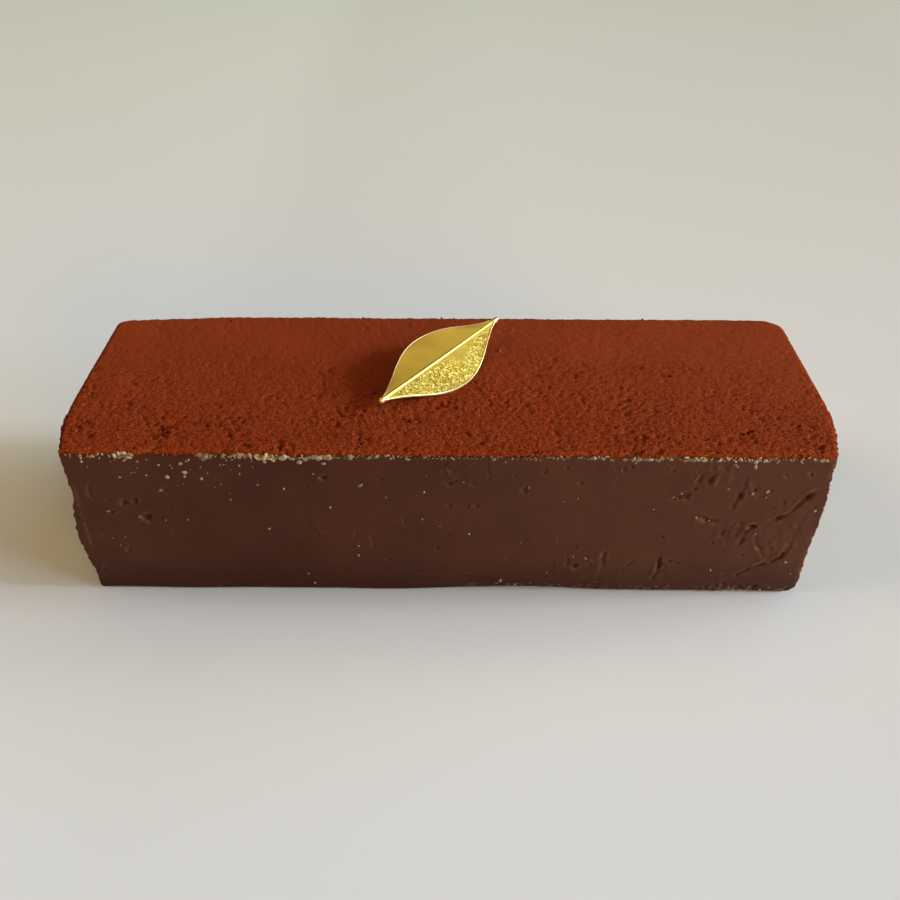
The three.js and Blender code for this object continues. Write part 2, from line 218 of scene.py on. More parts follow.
def end_inset(y, end):
    """How far an end lies inside its furthest point, at a place y across the bar."""
    inset, radius = end["front_inset"], end["back_radius"]
    arc_start = -WIDTH / 2 + math.sqrt(2 * END_ARC_RADIUS * inset - inset ** 2)
    corner_start = WIDTH / 2 - radius
    on_arc = np.clip(arc_start - y, 0, None)
    on_corner = np.clip(y - corner_start, 0, radius)
    arc = END_ARC_RADIUS - np.sqrt(END_ARC_RADIUS ** 2 - on_arc ** 2)
    return arc + radius - np.sqrt(radius ** 2 - on_corner ** 2)


def back_sweep(x):
    """How far the back is swept in towards the left end."""
    share = np.clip((BACK_SWEEP["start"] - x) / BACK_SWEEP["length"], 0, 1)
    return BACK_SWEEP["depth"] * share ** 1.6


def end_place(end, y, z, frontness):
    """How far out an end's wall lies along the bar, with its foot and its low swelling."""
    side = end["side"]
    x = side * LENGTH / 2 - side * end_inset(y, end)
    x = x - side * rounded_edge(z, end["base_reach"], end["base_rise"])
    return x + side * frontness * end["swelling"] * hump(z, end["swelling_low"], end["swelling_high"])


def bar_point(u, v, z):
    """The bar's wall at a height: u from the left end to the right, v from front to back."""
    y = WIDTH * (v - 0.5)
    frontness = (1 - v) ** SWELLING_FADE
    left = end_place(LEFT_END, y, z, frontness)
    right = end_place(RIGHT_END, y, z, frontness)
    x = left + (right - left) * u

    edge = rounded_edge(z, BASE_EDGE["reach"], BASE_EDGE["rise"])
    edge = edge + rounded_edge(TOP - z, TOP_EDGE["reach"], TOP_EDGE["rise"])
    wave = WALL_WAVINESS * unevenness(x, z)
    foot = FOOT_RECESS["depth"] * hump(x, FOOT_RECESS["x"] - FOOT_RECESS["half_length"],
                                       FOOT_RECESS["x"] + FOOT_RECESS["half_length"])
    foot = foot * np.clip(1 - z / FOOT_RECESS["height"], 0, 1)
    from_front = edge + wave + foot
    from_back = edge + wave + back_sweep(x)
    return x, y + from_front * (1 - v) ** 2 - from_back * v ** 2


def row_place(share):
    """Places from front to back, closer together towards the back corners."""
    return 1 - (1 - share) ** 1.6


# ---- Mesh making ----

def link_object(name, data):
    """An object that holds some data, in the scene."""
    holder = bpy.data.objects.new(name, data)
    bpy.context.scene.collection.objects.link(holder)
    return holder


def new_object(name, points_mm, faces, material, smooth=True, values=None):
    """An object from points in millimetres, with named per-point values for its material."""
    mesh = bpy.data.meshes.new(name)
    mesh.from_pydata((np.asarray(points_mm) * MM).tolist(), [], faces)
    mesh.polygons.foreach_set("use_smooth", np.full(len(mesh.polygons), smooth))
    for value_name, value in (values or {}).items():
        layer = mesh.attributes.new(value_name, "FLOAT", "POINT")
        layer.data.foreach_set("value", np.asarray(value, dtype=np.float32).ravel())
    mesh.materials.append(material)
    mesh.update()
    return link_object(name, mesh)


def grid_quads(rows, columns, first=0):
    """Quads over a grid of points stored row by row."""
    index = first + np.arange(rows * columns).reshape(rows, columns)
    corners = [index[:-1, :-1], index[:-1, 1:], index[1:, 1:], index[1:, :-1]]
    return np.stack([corner.ravel() for corner in corners], axis=1).tolist()


def border_loop(index):
    """The closed loop of point numbers round a grid: along its first row and on round."""
    return np.concatenate([index[0, :-1], index[:-1, -1], index[-1, :0:-1], index[:0:-1, 0]])


def band_quads(low_loop, high_loop):
    """Quads between two closed loops of as many points."""
    low, high = np.asarray(low_loop), np.asarray(high_loop)
    return np.stack([low, np.roll(low, -1), np.roll(high, -1), high], axis=1).tolist()


def turned(faces):
    """The same faces, facing the other way."""
    return [face[::-1] for face in faces]


def fan(apex, chain):
    """Triangles from one point to each step of a chain."""
    return [[apex, start, end] for start, end in zip(chain[:-1], chain[1:])]


def cap_triangles(loop, front_steps, end_steps, back_steps):
    """Triangles over a flat outline, facing up, from its closed loop of point numbers.

    The loop runs along the front, the right end, the back and the left end. Each end is a
    fan from its front corner, and a zip joins front to back between them.
    """
    closed = np.append(loop, loop[0]).tolist()
    back_start = front_steps + end_steps
    left_start = back_start + back_steps
    front = closed[:front_steps + 1]
    back = closed[back_start:left_start + 1][::-1]
    triangles = fan(front[-1], closed[front_steps:back_start + 1]) + fan(front[0], closed[left_start:])
    i, j = 0, 0
    while i < front_steps or j < back_steps:
        if (i + 1) / front_steps <= (j + 1) / back_steps:
            triangles.append([front[i], front[i + 1], back[j]])
            i += 1
        else:
            triangles.append([front[i], back[j + 1], back[j]])
            j += 1
    return [t for t in triangles if len(set(t)) == 3]


def finish_piece(piece, slot, *nodes):
    """Puts a piece on the root body and hides the solids whose place it takes. The slot is not used."""
    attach(piece, "root")
    if nodes:
        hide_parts(*nodes)


# ---- Materials ----

def new_material(name):
    material = bpy.data.materials.new(name)
    material.use_nodes = True
    tree = material.node_tree
    return material, tree, tree.nodes["Principled BSDF"]


def set_inputs(tree, node, inputs):
    """Inputs by label or number: an output is linked, and a number, vector or colour is set."""
    for name, value in inputs.items():
        socket = node.inputs[name]
        if isinstance(value, bpy.types.NodeSocket):
            tree.links.new(value, socket)
        elif socket.type == "RGBA":
            socket.default_value = (*value, 1.0)
        else:
            socket.default_value = value


def add_node(tree, kind, inputs=None, **settings):
    """A node of a kind, with its inputs, and its properties by name."""
    node = tree.nodes.new(kind)
    for name, value in settings.items():
        setattr(node, name, value)
    set_inputs(tree, node, inputs or {})
    return node


def object_place(tree):
    return add_node(tree, "ShaderNodeTexCoord").outputs["Object"]


def noise_node(tree, scale, detail=3.0, roughness=0.55, stretch=None):
    """Noise over the object's own coordinates, in metres."""
    place = object_place(tree)
    if stretch:
        place = add_node(tree, "ShaderNodeMapping", {"Vector": place, "Scale": stretch}).outputs["Vector"]
    return add_node(tree, "ShaderNodeTexNoise", {"Vector": place, "Scale": scale, "Detail": detail,
                                                 "Roughness": roughness}).outputs["Fac"]


def ramp_node(tree, source, *stops):
    """A colour ramp over a value: stops are (position, colour)."""
    node = add_node(tree, "ShaderNodeValToRGB", {"Fac": source})
    elements = node.color_ramp.elements
    while len(elements) < len(stops):
        elements.new(0.5)
    for element, (position, colour) in zip(elements, stops):
        element.position = position
        element.color = (*colour, 1.0)
    return node.outputs["Color"]


def range_node(tree, source, low, high, to_low=0.0, to_high=1.0):
    """A value between low and high carried over to another range, and held at its ends."""
    return add_node(tree, "ShaderNodeMapRange", {"Value": source, "From Min": low, "From Max": high,
                                                 "To Min": to_low, "To Max": to_high}).outputs["Result"]


def spread(tree, share, at_none, at_full):
    """A share from 0 to 1 carried over to another range."""
    return range_node(tree, share, 0.0, 1.0, at_none, at_full)


def mix_colour(tree, share, first, second, blend="MIX"):
    """A share of the second colour laid over the first; the node's inputs go by number."""
    return add_node(tree, "ShaderNodeMix", {0: share, 6: first, 7: second}, data_type="RGBA",
                    blend_type=blend).outputs[2]


def value_of(tree, name):
    """The piece's own per-point value of this name."""
    return add_node(tree, "ShaderNodeAttribute", attribute_name=name).outputs["Fac"]


def bump_node(tree, height, distance, strength=1.0, under=None):
    """A normal that is tilted by a height, over the normal of another bump if there is one."""
    inputs = {"Strength": strength, "Distance": distance, "Height": height}
    if under:
        inputs["Normal"] = under
    return add_node(tree, "ShaderNodeBump", inputs).outputs["Normal"]


def share_of(tree, first, second):
    """Two values multiplied."""
    return add_node(tree, "ShaderNodeMath", {0: first, 1: second}, operation="MULTIPLY").outputs["Value"]


def place_along(tree, axis, low, high):
    """How far a point lies along an axis of the object, 0 to 1 between two places in metres."""
    split = add_node(tree, "ShaderNodeSeparateXYZ", {"Vector": object_place(tree)})
    return range_node(tree, split.outputs[axis], low, high)


def tint_along(tree, colour, axis, low, high, tint):
    """A colour that is multiplied by a tint from one place to another along an axis."""
    return mix_colour(tree, place_along(tree, axis, low, high), colour, tint, "MULTIPLY")


def chocolate_material():
    """Dark chocolate: lighter and greyer to the right with painted light, darker at the foot with painted
    shade, and pale along raised edges, partly rubbed and partly a painted highlight.
    """
    material, tree, shader = new_material("dark_chocolate")
    colour = ramp_node(tree, noise_node(tree, 55.0, detail=4.0),
                       (0.3, (0.0405, 0.0107, 0.0054)), (0.7, (0.0525, 0.0141, 0.0070)))
    # Painted light: lighter and greyer towards the right end, where the light from the right falls.
    colour = tint_along(tree, colour, "X", -0.04, 0.09, (1.60, 2.12, 2.70))
    colour = tint_along(tree, colour, "X", -0.03, -0.09, (1.02, 1.11, 1.15))
    # Painted shade: darker towards the foot, beside the floor.
    colour = tint_along(tree, colour, "Z", 0.012, 0.0, (0.57, 0.64, 0.66))
    # Pale along raised edges and the right upright corner: partly rubbed, partly a painted highlight.
    worn_and_lit = spread(tree, value_of(tree, "wear_and_highlight"), 0.0, 0.42)
    colour = mix_colour(tree, worn_and_lit, colour, (0.17, 0.085, 0.058))
    patches = noise_node(tree, 160.0)
    grain = noise_node(tree, 900.0, detail=4.0, roughness=0.6)
    fine = bump_node(tree, grain, distance=0.00005, strength=0.5)
    smear = noise_node(tree, 260.0, stretch=(1.0, 1.0, 0.45))
    set_inputs(tree, shader, {"Base Color": colour, "Specular IOR Level": 0.15,
                              "Roughness": range_node(tree, patches, 0.3, 0.7, 0.40, 0.55),
                              "Normal": bump_node(tree, smear, distance=0.00035, strength=0.35,
                                                  under=fine)})
    return material


def cocoa_material():
    """Cocoa powder with dark gaps and light grains, which show less towards the back. Painted shade darkens
    the gaps and the low places of its relief, and a painted sheen makes it paler towards the back and the
    right.
    """
    material, tree, shader = new_material("cocoa_powder")
    colour = ramp_node(tree, noise_node(tree, 45.0),
                       (0.3, (0.200, 0.0288, 0.0067)), (0.7, (0.232, 0.0346, 0.0086)))
    back = place_along(tree, "Y", -0.024, 0.020)
    right = place_along(tree, "X", 0.0, 0.1)
    colour = mix_colour(tree, back, colour, (0.94, 0.94, 0.94), "MULTIPLY")
    # Painted sheen: paler towards the back and the right.
    for place, painted_sheen in ((back, 0.022), (right, 0.028)):
        colour = mix_colour(tree, spread(tree, place, 0.0, painted_sheen), colour, (0.50, 0.22, 0.13))
    grain = noise_node(tree, 1250.0, roughness=0.7)
    # Painted shade in the gaps between the grains.
    gaps = share_of(tree, range_node(tree, grain, 0.50, 0.36, 0.0, 0.85), spread(tree, back, 1.0, 0.30))
    colour = mix_colour(tree, gaps, colour, (0.060, 0.0075, 0.0022))
    speck = noise_node(tree, 2000.0, detail=2.0)
    lights = share_of(tree, range_node(tree, speck, 0.58, 0.68, 0.0, 0.55), spread(tree, back, 1.0, 0.15))
    colour = mix_colour(tree, lights, colour, (0.40, 0.105, 0.040))
    # Painted shade: darker where the cocoa's relief is low.
    hollow_shade = range_node(tree, value_of(tree, "height"), 0.0, 0.45, 0.7, 0.0)
    colour = mix_colour(tree, hollow_shade, colour, (0.045, 0.006, 0.002))
    fine = share_of(tree, noise_node(tree, 1700.0, roughness=0.7), spread(tree, back, 1.0, 0.10))
    set_inputs(tree, shader, {"Base Color": colour, "Specular IOR Level": 0.0, "Roughness": 1.0,
                              "Normal": bump_node(tree, fine, distance=0.00045)})
    return material


def crumb_material(name, dark, light, shine=0.4):
    """Crumbs from dark to light, each by its own tone."""
    material, tree, shader = new_material(name)
    grain = noise_node(tree, 2200.0, detail=2.0)
    colour = mix_colour(tree, value_of(tree, "tone"), dark, light)
    colour = mix_colour(tree, range_node(tree, grain, 0.35, 0.65, 0.0, 0.4), colour, dark)
    set_inputs(tree, shader, {"Base Color": colour, "Specular IOR Level": shine, "Roughness": 0.6,
                              "Normal": bump_node(tree, grain, distance=0.00008, strength=0.6)})
    return material


def gilt_material():
    """Gold lustre, with painted glints on its facets where it is hammered, painted highlights on the midrib
    and the lower right rim, and cocoa dust on its left rim.
    """
    material, tree, shader = new_material("gold_lustre")
    colour = ramp_node(tree, noise_node(tree, 130.0),
                       (0.35, (0.49, 0.310, 0.042)), (0.65, (0.55, 0.355, 0.054)))
    colour = tint_along(tree, colour, "Y", -0.012, 0.018, (1.22, 1.24, 1.40))
    # Painted glints: each facet of the hammered half gets its own brightness, from dark gold to nearly
    # white.
    facet = add_node(tree, "ShaderNodeTexVoronoi", {"Vector": object_place(tree), "Scale": 2700.0})
    draw = add_node(tree, "ShaderNodeSeparateColor", {"Color": facet.outputs["Color"]})
    painted_glints = ramp_node(tree, draw.outputs["Red"], (0.0, (0.37, 0.210, 0.015)), (0.5, (0.58, 0.375, 0.038)),
                        (0.74, (0.91, 0.68, 0.12)), (1.0, (1.0, 0.96, 0.42)))
    # Painted highlights on the midrib and the lower right rim, then cocoa dust on the left rim.
    for value_name, over in (("hammered", painted_glints), ("ridge_highlight", (0.62, 0.49, 0.155)),
                             ("rim", (1.0, 0.95, 0.50)), ("dusty", (0.44, 0.29, 0.18))):
        colour = mix_colour(tree, value_of(tree, value_name), colour, over)
    fine = noise_node(tree, 1400.0, roughness=0.6)
    set_inputs(tree, shader, {"Base Color": colour, "Metallic": 0.93,
                              "Roughness": spread(tree, value_of(tree, "hammered"), 0.45, 0.36),
                              "Normal": bump_node(tree, fine, distance=0.00004, strength=0.6)})
    return material


def floor_material():
    """A pale table with painted light: a little darker further off and to the right, and a little lighter
    at the left beside the bar.
    """
    material, tree, shader = new_material("pale_surface_painted_light")
    # Painted light: darker and yellower further off, where the light falls off.
    colour = ramp_node(tree, place_along(tree, "Y", -0.11, 0.69),
                       (0.0, (0.665, 0.672, 0.690)), (0.14, (0.650, 0.648, 0.648)),
                       (0.51, (0.610, 0.597, 0.567)), (1.0, (0.560, 0.578, 0.523)))
    # Painted light: lighter at the left beside the bar, darker to the right.
    colour = tint_along(tree, colour, "X", -0.07, -0.12, (1.06, 1.07, 1.07))
    colour = tint_along(tree, colour, "X", 0.04, 0.32, (0.90, 0.88, 0.87))
    set_inputs(tree, shader, {"Base Color": colour, "Specular IOR Level": 0.0, "Roughness": 0.7})
    return material


# ---- The chocolate's relief ----

# Pits: place along the bar and above the base, length, breadth, depth, and the turn of the
# long axis up from the horizontal.
PITS = [
    (-91.2, 34.9, 4.0, 0.9, 0.5, 80), (-91.2, 33.1, 1.4, 1.1, 0.5, 20), (-87.2, 31.7, 1.1, 0.9, 0.35, 0),
    (-83.2, 31.1, 1.9, 1.5, 0.8, 10), (-80.6, 31.5, 1.9, 1.8, 0.8, 30), (-87.0, 27.6, 2.6, 1.1, 0.5, 25),
    (-78.3, 26.0, 2.7, 2.4, 1.1, 60), (-74.7, 25.9, 1.6, 0.9, 0.6, 80), (-71.9, 28.5, 1.0, 0.7, 0.3, 60),
    (-86.7, 23.2, 1.1, 0.8, 0.4, 30), (-88.6, 18.8, 0.9, 0.7, 0.3, 0), (-85.5, 14.3, 1.6, 1.1, 0.6, 80),
    (-93.2, 7.2, 2.4, 1.4, 0.3, 80), (-68.1, 24.3, 0.9, 0.8, 0.35, 0), (-59.9, 19.9, 1.5, 1.0, 0.3, 0),
    (-72.0, 35.0, 1.2, 0.9, 0.4, 0), (-62.6, 1.4, 1.0, 0.9, 0.5, 0), (-60.3, 1.6, 0.7, 0.7, 0.4, 0),
    (-31.7, 39.4, 1.6, 1.0, 0.7, 30), (-36.2, 36.5, 1.0, 0.7, 0.5, 0), (-28.4, 34.3, 0.7, 0.6, 0.3, 0),
    (-17.2, 39.1, 1.3, 0.9, 0.6, 70), (-36.7, 23.6, 0.9, 0.8, 0.45, 0), (-20.2, 19.0, 1.1, 0.8, 0.45, 0),
    (-14.3, 22.7, 1.9, 0.6, 0.4, 5), (-11.5, 25.2, 2.8, 0.8, 0.45, 82), (-16.0, 11.4, 1.2, 0.9, 0.3, 0),
    (-3.3, 15.4, 1.3, 1.0, 0.5, 10), (-0.1, 20.5, 1.0, 0.9, 0.35, 0), (0.0, 30.2, 1.3, 1.1, 0.5, 0),
    (-2.8, 23.9, 0.9, 0.7, 0.45, 30), (0.0, 37.7, 1.7, 1.1, 0.6, 10), (1.5, 38.7, 1.0, 0.9, 0.5, 0),
    (5.8, 38.0, 1.3, 0.9, 0.5, 0), (0.0, 42.9, 1.2, 1.0, 0.4, 80), (10.0, 39.9, 1.2, 0.9, 0.4, 80),
    (16.5, 40.8, 1.4, 1.2, 0.35, 0), (24.0, 41.9, 1.9, 0.7, 0.5, 65), (29.4, 42.9, 1.9, 0.8, 0.45, 70),
    (33.1, 38.1, 1.1, 1.0, 0.5, 0), (42.2, 38.3, 1.0, 0.8, 0.4, 60), (43.4, 42.3, 1.6, 0.9, 0.5, 75),
    (45.2, 43.5, 1.2, 0.9, 0.5, 40), (19.1, 35.9, 2.3, 1.2, 0.6, 75), (4.8, 30.2, 1.8, 0.8, 0.6, 80),
    (7.3, 30.6, 1.9, 0.8, 0.6, 62), (25.5, 32.7, 0.9, 0.6, 0.35, 0), (10.7, 13.9, 1.9, 0.8, 0.3, 0),
    (16.0, 11.9, 2.0, 0.8, 0.3, 5), (20.4, 19.1, 1.4, 0.9, 0.3, 0), (33.7, 16.3, 2.2, 0.9, 0.55, 85),
    (34.0, 9.2, 2.4, 1.5, 0.9, 10), (28.2, 10.0, 3.0, 0.7, 0.45, 85), (37.5, 10.7, 1.0, 0.8, 0.5, 0),
    (41.6, 14.0, 1.8, 1.1, 0.6, 60), (48.7, 10.3, 3.2, 0.7, 0.4, 55), (47.0, 7.5, 1.6, 1.3, 0.3, 0),
    (40.2, 2.2, 2.6, 0.8, 0.5, 5), (21.0, 3.1, 1.0, 0.7, 0.4, 0), (54.0, 42.9, 1.0, 0.8, 0.45, 0),
    (55.9, 42.4, 1.3, 0.7, 0.45, 80), (58.8, 33.6, 1.7, 0.9, 0.7, 20), (60.3, 33.9, 2.2, 1.9, 0.6, 40),
    (61.9, 36.6, 1.3, 0.7, 0.5, 10), (77.2, 36.4, 1.6, 1.0, 0.6, 30), (81.6, 36.0, 1.1, 0.7, 0.5, 80),
    (52.7, 29.1, 0.7, 0.7, 0.4, 0), (66.7, 26.0, 1.8, 0.8, 0.7, -15), (55.9, 20.0, 2.2, 1.1, 0.7, -50),
    (71.9, 21.7, 2.5, 1.2, 0.6, 78), (70.0, 18.2, 1.2, 0.8, 0.4, 80), (79.3, 24.1, 2.7, 1.0, 1.2, -5),
    (93.6, 30.7, 1.0, 0.8, 0.4, 0), (84.1, 41.3, 1.6, 0.7, 0.45, -50), (90.2, 41.5, 1.3, 1.0, 0.6, -40),
    (85.7, 16.1, 1.2, 0.7, 0.4, 0), (78.1, 13.9, 1.0, 0.7, 0.4, 0), (78.4, 6.3, 1.3, 1.0, 0.5, 60),
    (57.0, 9.5, 2.6, 1.1, 0.6, 78), (55.5, 5.1, 1.2, 0.9, 0.4, 60), (59.5, 10.9, 1.6, 0.7, 0.45, 80),
    (61.9, 10.5, 1.2, 0.7, 0.45, 20), (64.8, 9.7, 1.1, 0.8, 0.25, 0), (83.0, 30.4, 0.8, 0.6, 0.3, 0),
    (89.6, 16.3, 2.0, 0.6, 0.4, 75), (75.2, 3.1, 1.8, 1.0, 0.35, 80),
]

# Creases: breadth, depth, height of the raised side (its sign says which side: above or to
# the left is positive), and the points they run through.
CREASES = [
    (0.60, 0.75, 0.30, [(95.4, 37.0), (93.0, 36.3), (90.5, 33.7), (88.8, 30.7), (87.0, 28.4),
                        (84.8, 26.7), (82.2, 25.2)]),
    (0.55, 0.68, 0.26, [(90.0, 16.3), (89.0, 13.7), (87.3, 11.9), (85.5, 10.7), (83.6, 9.8),
                        (81.0, 8.1), (78.3, 6.1)]),
    (0.40, 0.60, -0.20, [(74.5, 40.3), (74.4, 37.9), (73.6, 33.9), (72.5, 30.3)]),
    (0.40, 0.55, 0.18, [(79.2, 24.0), (77.8, 22.3), (77.3, 19.3), (76.7, 17.2)]),
    (0.40, 0.40, -0.25, [(80.3, 21.5), (81.5, 18.7), (83.0, 15.7), (84.0, 13.3)]),
    (0.45, 0.55, -0.20, [(63.4, 27.7), (65.4, 26.9), (67.4, 25.8), (69.4, 25.6)]),
    (0.40, 0.50, 0.20, [(62.4, 43.3), (62.7, 40.9), (62.3, 38.7)]),
    (0.40, 0.45, -0.25, [(66.8, 42.7), (66.2, 40.7), (65.0, 38.3)]),
    (0.45, 0.55, 0.20, [(56.2, 32.9), (58.8, 34.1), (60.6, 35.7), (62.6, 37.1)]),
    (0.40, 0.55, 0.22, [(41.8, 14.9), (41.3, 11.9), (41.3, 8.7), (40.8, 5.3)]),
    (0.40, 0.45, -0.20, [(32.0, 15.7), (31.7, 12.7), (31.9, 10.1), (33.2, 8.3)]),
    (0.35, 0.40, 0.15, [(31.0, 8.1), (30.3, 5.7)]),
    (0.40, 0.50, 0.25, [(56.6, 14.3), (56.8, 11.1), (56.8, 7.3), (55.6, 4.7)]),
    (0.35, 0.35, 0.15, [(75.6, 26.1), (76.2, 23.3), (76.6, 21.5)]),
    (0.35, 0.30, -0.15, [(91.8, 27.9), (90.8, 23.7), (90.4, 19.7), (90.2, 15.7)]),
    (0.30, 0.25, 0.12, [(88.4, 25.3), (89.4, 23.1), (90.0, 20.7)]),
    (0.35, 0.30, 0.12, [(9.6, 46.7), (9.8, 43.7), (10.0, 40.7)]),
    (0.35, 0.30, 0.15, [(-1.2, 45.7), (-1.0, 42.1), (-0.4, 39.1), (-1.6, 36.7)]),
    (0.60, 0.22, 0.10, [(-11.0, 5.2), (-3.0, 5.1), (4.0, 5.5), (12.6, 5.4)]),
    (0.45, 0.60, 0.15, [(-96.4, 15.1), (-95.6, 13.7), (-94.8, 12.3)]),
    (0.60, 0.20, 0.08, [(-94.6, 16.3), (-92.4, 17.7), (-90.2, 19.9)]),
    (0.30, 0.15, 0.06, [(-71.9, 23.7), (-72.1, 21.3), (-72.4, 19.3)]),
    (0.35, 0.25, 0.12, [(-36.6, 23.5), (-35.2, 22.6), (-34.7, 21.1), (-34.8, 19.1)]),
    (0.35, 0.22, 0.10, [(-24.3, 21.7), (-24.8, 19.7), (-25.3, 18.3)]),
    (0.30, 0.22, 0.10, [(-20.1, 20.3), (-20.2, 17.7), (-20.3, 15.7)]),
    (0.35, 0.25, 0.10, [(42.2, 33.1), (44.6, 33.9), (47.0, 34.1)]),
    (0.30, 0.20, 0.12, [(84.9, 33.3), (85.6, 31.3), (86.4, 29.5)]),
    (0.40, 0.25, 0.12, [(36.2, 13.1), (37.2, 11.5), (38.4, 9.7)]),
]

# Rough torn patches: middle, half length, half height, roughness.
SCUFFS = [
    (3.5, 41.7, 6.0, 5.5, 0.16), (-21.5, 17.7, 4.0, 3.0, 0.10), (36.0, 10.2, 6.5, 6.0, 0.20),
    (66.0, 41.7, 7.0, 4.5, 0.32), (73.0, 21.7, 4.5, 5.0, 0.34), (79.0, 35.2, 3.5, 2.5, 0.28),
    (87.0, 19.7, 5.5, 7.0, 0.20), (80.0, 1.2, 15.0, 2.0, 0.60), (58.5, 8.7, 4.0, 4.0, 0.20),
    (42.0, 43.7, 6.0, 3.0, 0.20), (19.8, 36.2, 2.4, 2.0, 0.14), (-82.0, 29.7, 5.0, 3.0, 0.08),
    (-50.0, 45.7, 30.0, 1.2, 0.10), (30.0, 2.7, 16.0, 1.2, 0.14),
]


def pit_depths(x, z, pits):
    """Ragged hollows with a soft raised lip on the side away from the light."""
    depth = np.zeros(np.shape(x))
    ragged = 1 + 0.35 * noise(x * 1.3, z * 1.3, 31) + 0.2 * noise(x * 2.9, z * 2.9, 32)
    for px, pz, long, broad, deep, turn in pits:
        cos_turn, sin_turn = math.cos(math.radians(turn)), math.sin(math.radians(turn))
        along = ((x - px) * cos_turn + (z - pz) * sin_turn) / (long / 2)
        across = ((z - pz) * cos_turn - (x - px) * sin_turn) / (broad / 2)
        reach = np.sqrt(along ** 2 + across ** 2) * ragged
        depth = depth - deep * np.clip(1 - reach ** 2, 0, None) ** 0.8
        lip = np.clip((px - x) / long + 0.4, 0, 1)
        depth = depth + 0.22 * deep * lip * bell(reach - 1.3, 0.35)
    return depth


def crease_depths(x, z, creases):
    """Broken grooves along bent lines, where the soft chocolate on one side was pushed up."""
    depth = np.zeros(np.shape(x))
    broken = np.clip(0.75 + 0.9 * noise(x / 1.9, z / 1.9, 58), 0.15, 1.3)
    wander_x = x + 0.45 * noise(x / 1.7, z / 1.7, 59)
    wander_z = z + 0.45 * noise(x / 1.7, z / 1.7, 60)
    for breadth, deep, raised, route in creases:
        nearest = np.full(np.shape(x), FAR)
        side = np.zeros(np.shape(x))
        fade = np.ones(np.shape(x))
        count = len(route) - 1
        for k, ((ax, az), (bx, bz)) in enumerate(zip(route[:-1], route[1:])):
            length = math.hypot(bx - ax, bz - az)
            reach_x, reach_z = wander_x - ax, wander_z - az
            share = np.clip((reach_x * (bx - ax) + reach_z * (bz - az)) / length ** 2, 0, 1)
            off_x, off_z = reach_x - share * (bx - ax), reach_z - share * (bz - az)
            distance = np.hypot(off_x, off_z)
            closer = distance < nearest
            nearest = np.where(closer, distance, nearest)
            backwards = -1 if (bx, bz) < (ax, az) else 1
            side = np.where(closer, backwards * ((bx - ax) * off_z - (bz - az) * off_x) / length, side)
            along = (k + share) / count
            fade = np.where(closer, np.clip(5 * np.minimum(along, 1 - along) + 0.2, 0, 1), fade)
        groove = bell(nearest, breadth * (0.7 + 0.45 * step(x, 30, 60)))
        pushed = step(side * np.sign(raised), 0.1, 0.8) * bell(nearest, 1.8)
        depth = depth + fade * broken * (1.6 * abs(raised) * pushed - deep * groove)
    return depth


def scuff_heights(x, z, scuffs):
    """Roughness over oval patches, which fades towards their borders."""
    height = np.zeros(np.shape(x))
    for px, pz, half_long, half_high, rough in scuffs:
        inside = np.clip(1 - ((x - px) / half_long) ** 2 - ((z - pz) / half_high) ** 2, 0, 1)
        height = height + rough * np.sqrt(inside) * fractal(x * 0.9, z * 0.55, 71, 3)
    return height


def plain_relief(s, z, seed):
    """Faint waves, fine dents and a few specks of roughness that every wall has."""
    waves = 0.12 * fractal(s / 14, z / 11, seed, 2) + 0.06 * fractal(s / 5, z / 4, seed + 30, 2)
    dents = 0.030 * fractal(s / 2.2, z / 2.2, seed + 10, 3)
    pricks = -0.35 * np.clip(noise(s / 1.3, z / 1.3, seed + 20) - 0.78, 0, None)
    return waves + dents + pricks


def drawn_marks(count, s_low, s_high, seed):
    """Seeded pits, and a crease by every fourth, for a wall that the photo doesn't show."""
    pits, creases = [], []
    for k in range(count):
        pick = picks(k, 9, seed)
        s = s_low + (s_high - s_low) * (k + pick[0]) / count
        z = 4 + 38 * pick[1]
        size = (1 + 1.8 * pick[2], 0.8 + 0.8 * pick[3], 0.3 + 0.6 * pick[4])
        pits.append((s, z, *size, 180 * pick[5]))
        if k % 4 == 0:
            lean = 1.5 + 3 * pick[6]
            route = [(s + 5, z), (s + 5 - lean, z - 2.5), (s + 5 - 2 * lean, z - 4 - 3 * pick[7])]
            creases.append((0.4, 0.3 + 0.35 * pick[8], 0.18, route))
    return pits, creases


def wall_relief(s, z, seed, marks, scuffs=()):
    """How far a wall stands out from its plain form, at a place along it and a height."""
    pits, creases = marks
    relief = pit_depths(s, z, pits) + crease_depths(s, z, creases) + scuff_heights(s, z, scuffs)
    fine = plain_relief(s, z, seed)
    fade = step(z, 0.0, 0.8) * (1 + 0.35 * step(s, 50, 62))
    return (relief + fine) * fade


def front_relief(x, z):
    """The relief of the front wall, which has the marks that the photo shows."""
    return wall_relief(x, z, 3, (PITS, CREASES), SCUFFS)


# ---- The chocolate bar ----

FRONT_COLUMNS = 520
BACK_COLUMNS = 120
END_ROWS = 42
BAR_LEVELS = 130
# Where the front's upright corners are pale: a pale line on the left one and a painted highlight on the
# right one; and a small lump on the left one.
LEFT_RUB_X = -95.2
RIGHT_HIGHLIGHT_X = 95.0
CORNER_LUMP = {"height": 0.45, "z": 36.8, "reach": 0.8}
# The marks of the walls that the photo doesn't show: how many, and the stretch they cover.
BACK_MARKS = {"count": 26, "s_low": -95, "s_high": 92, "seed": 14}
RIGHT_MARKS = {"count": 12, "s_low": -28, "s_high": 26, "seed": 15}
LEFT_MARKS = {"count": 12, "s_low": -28, "s_high": 28, "seed": 16}


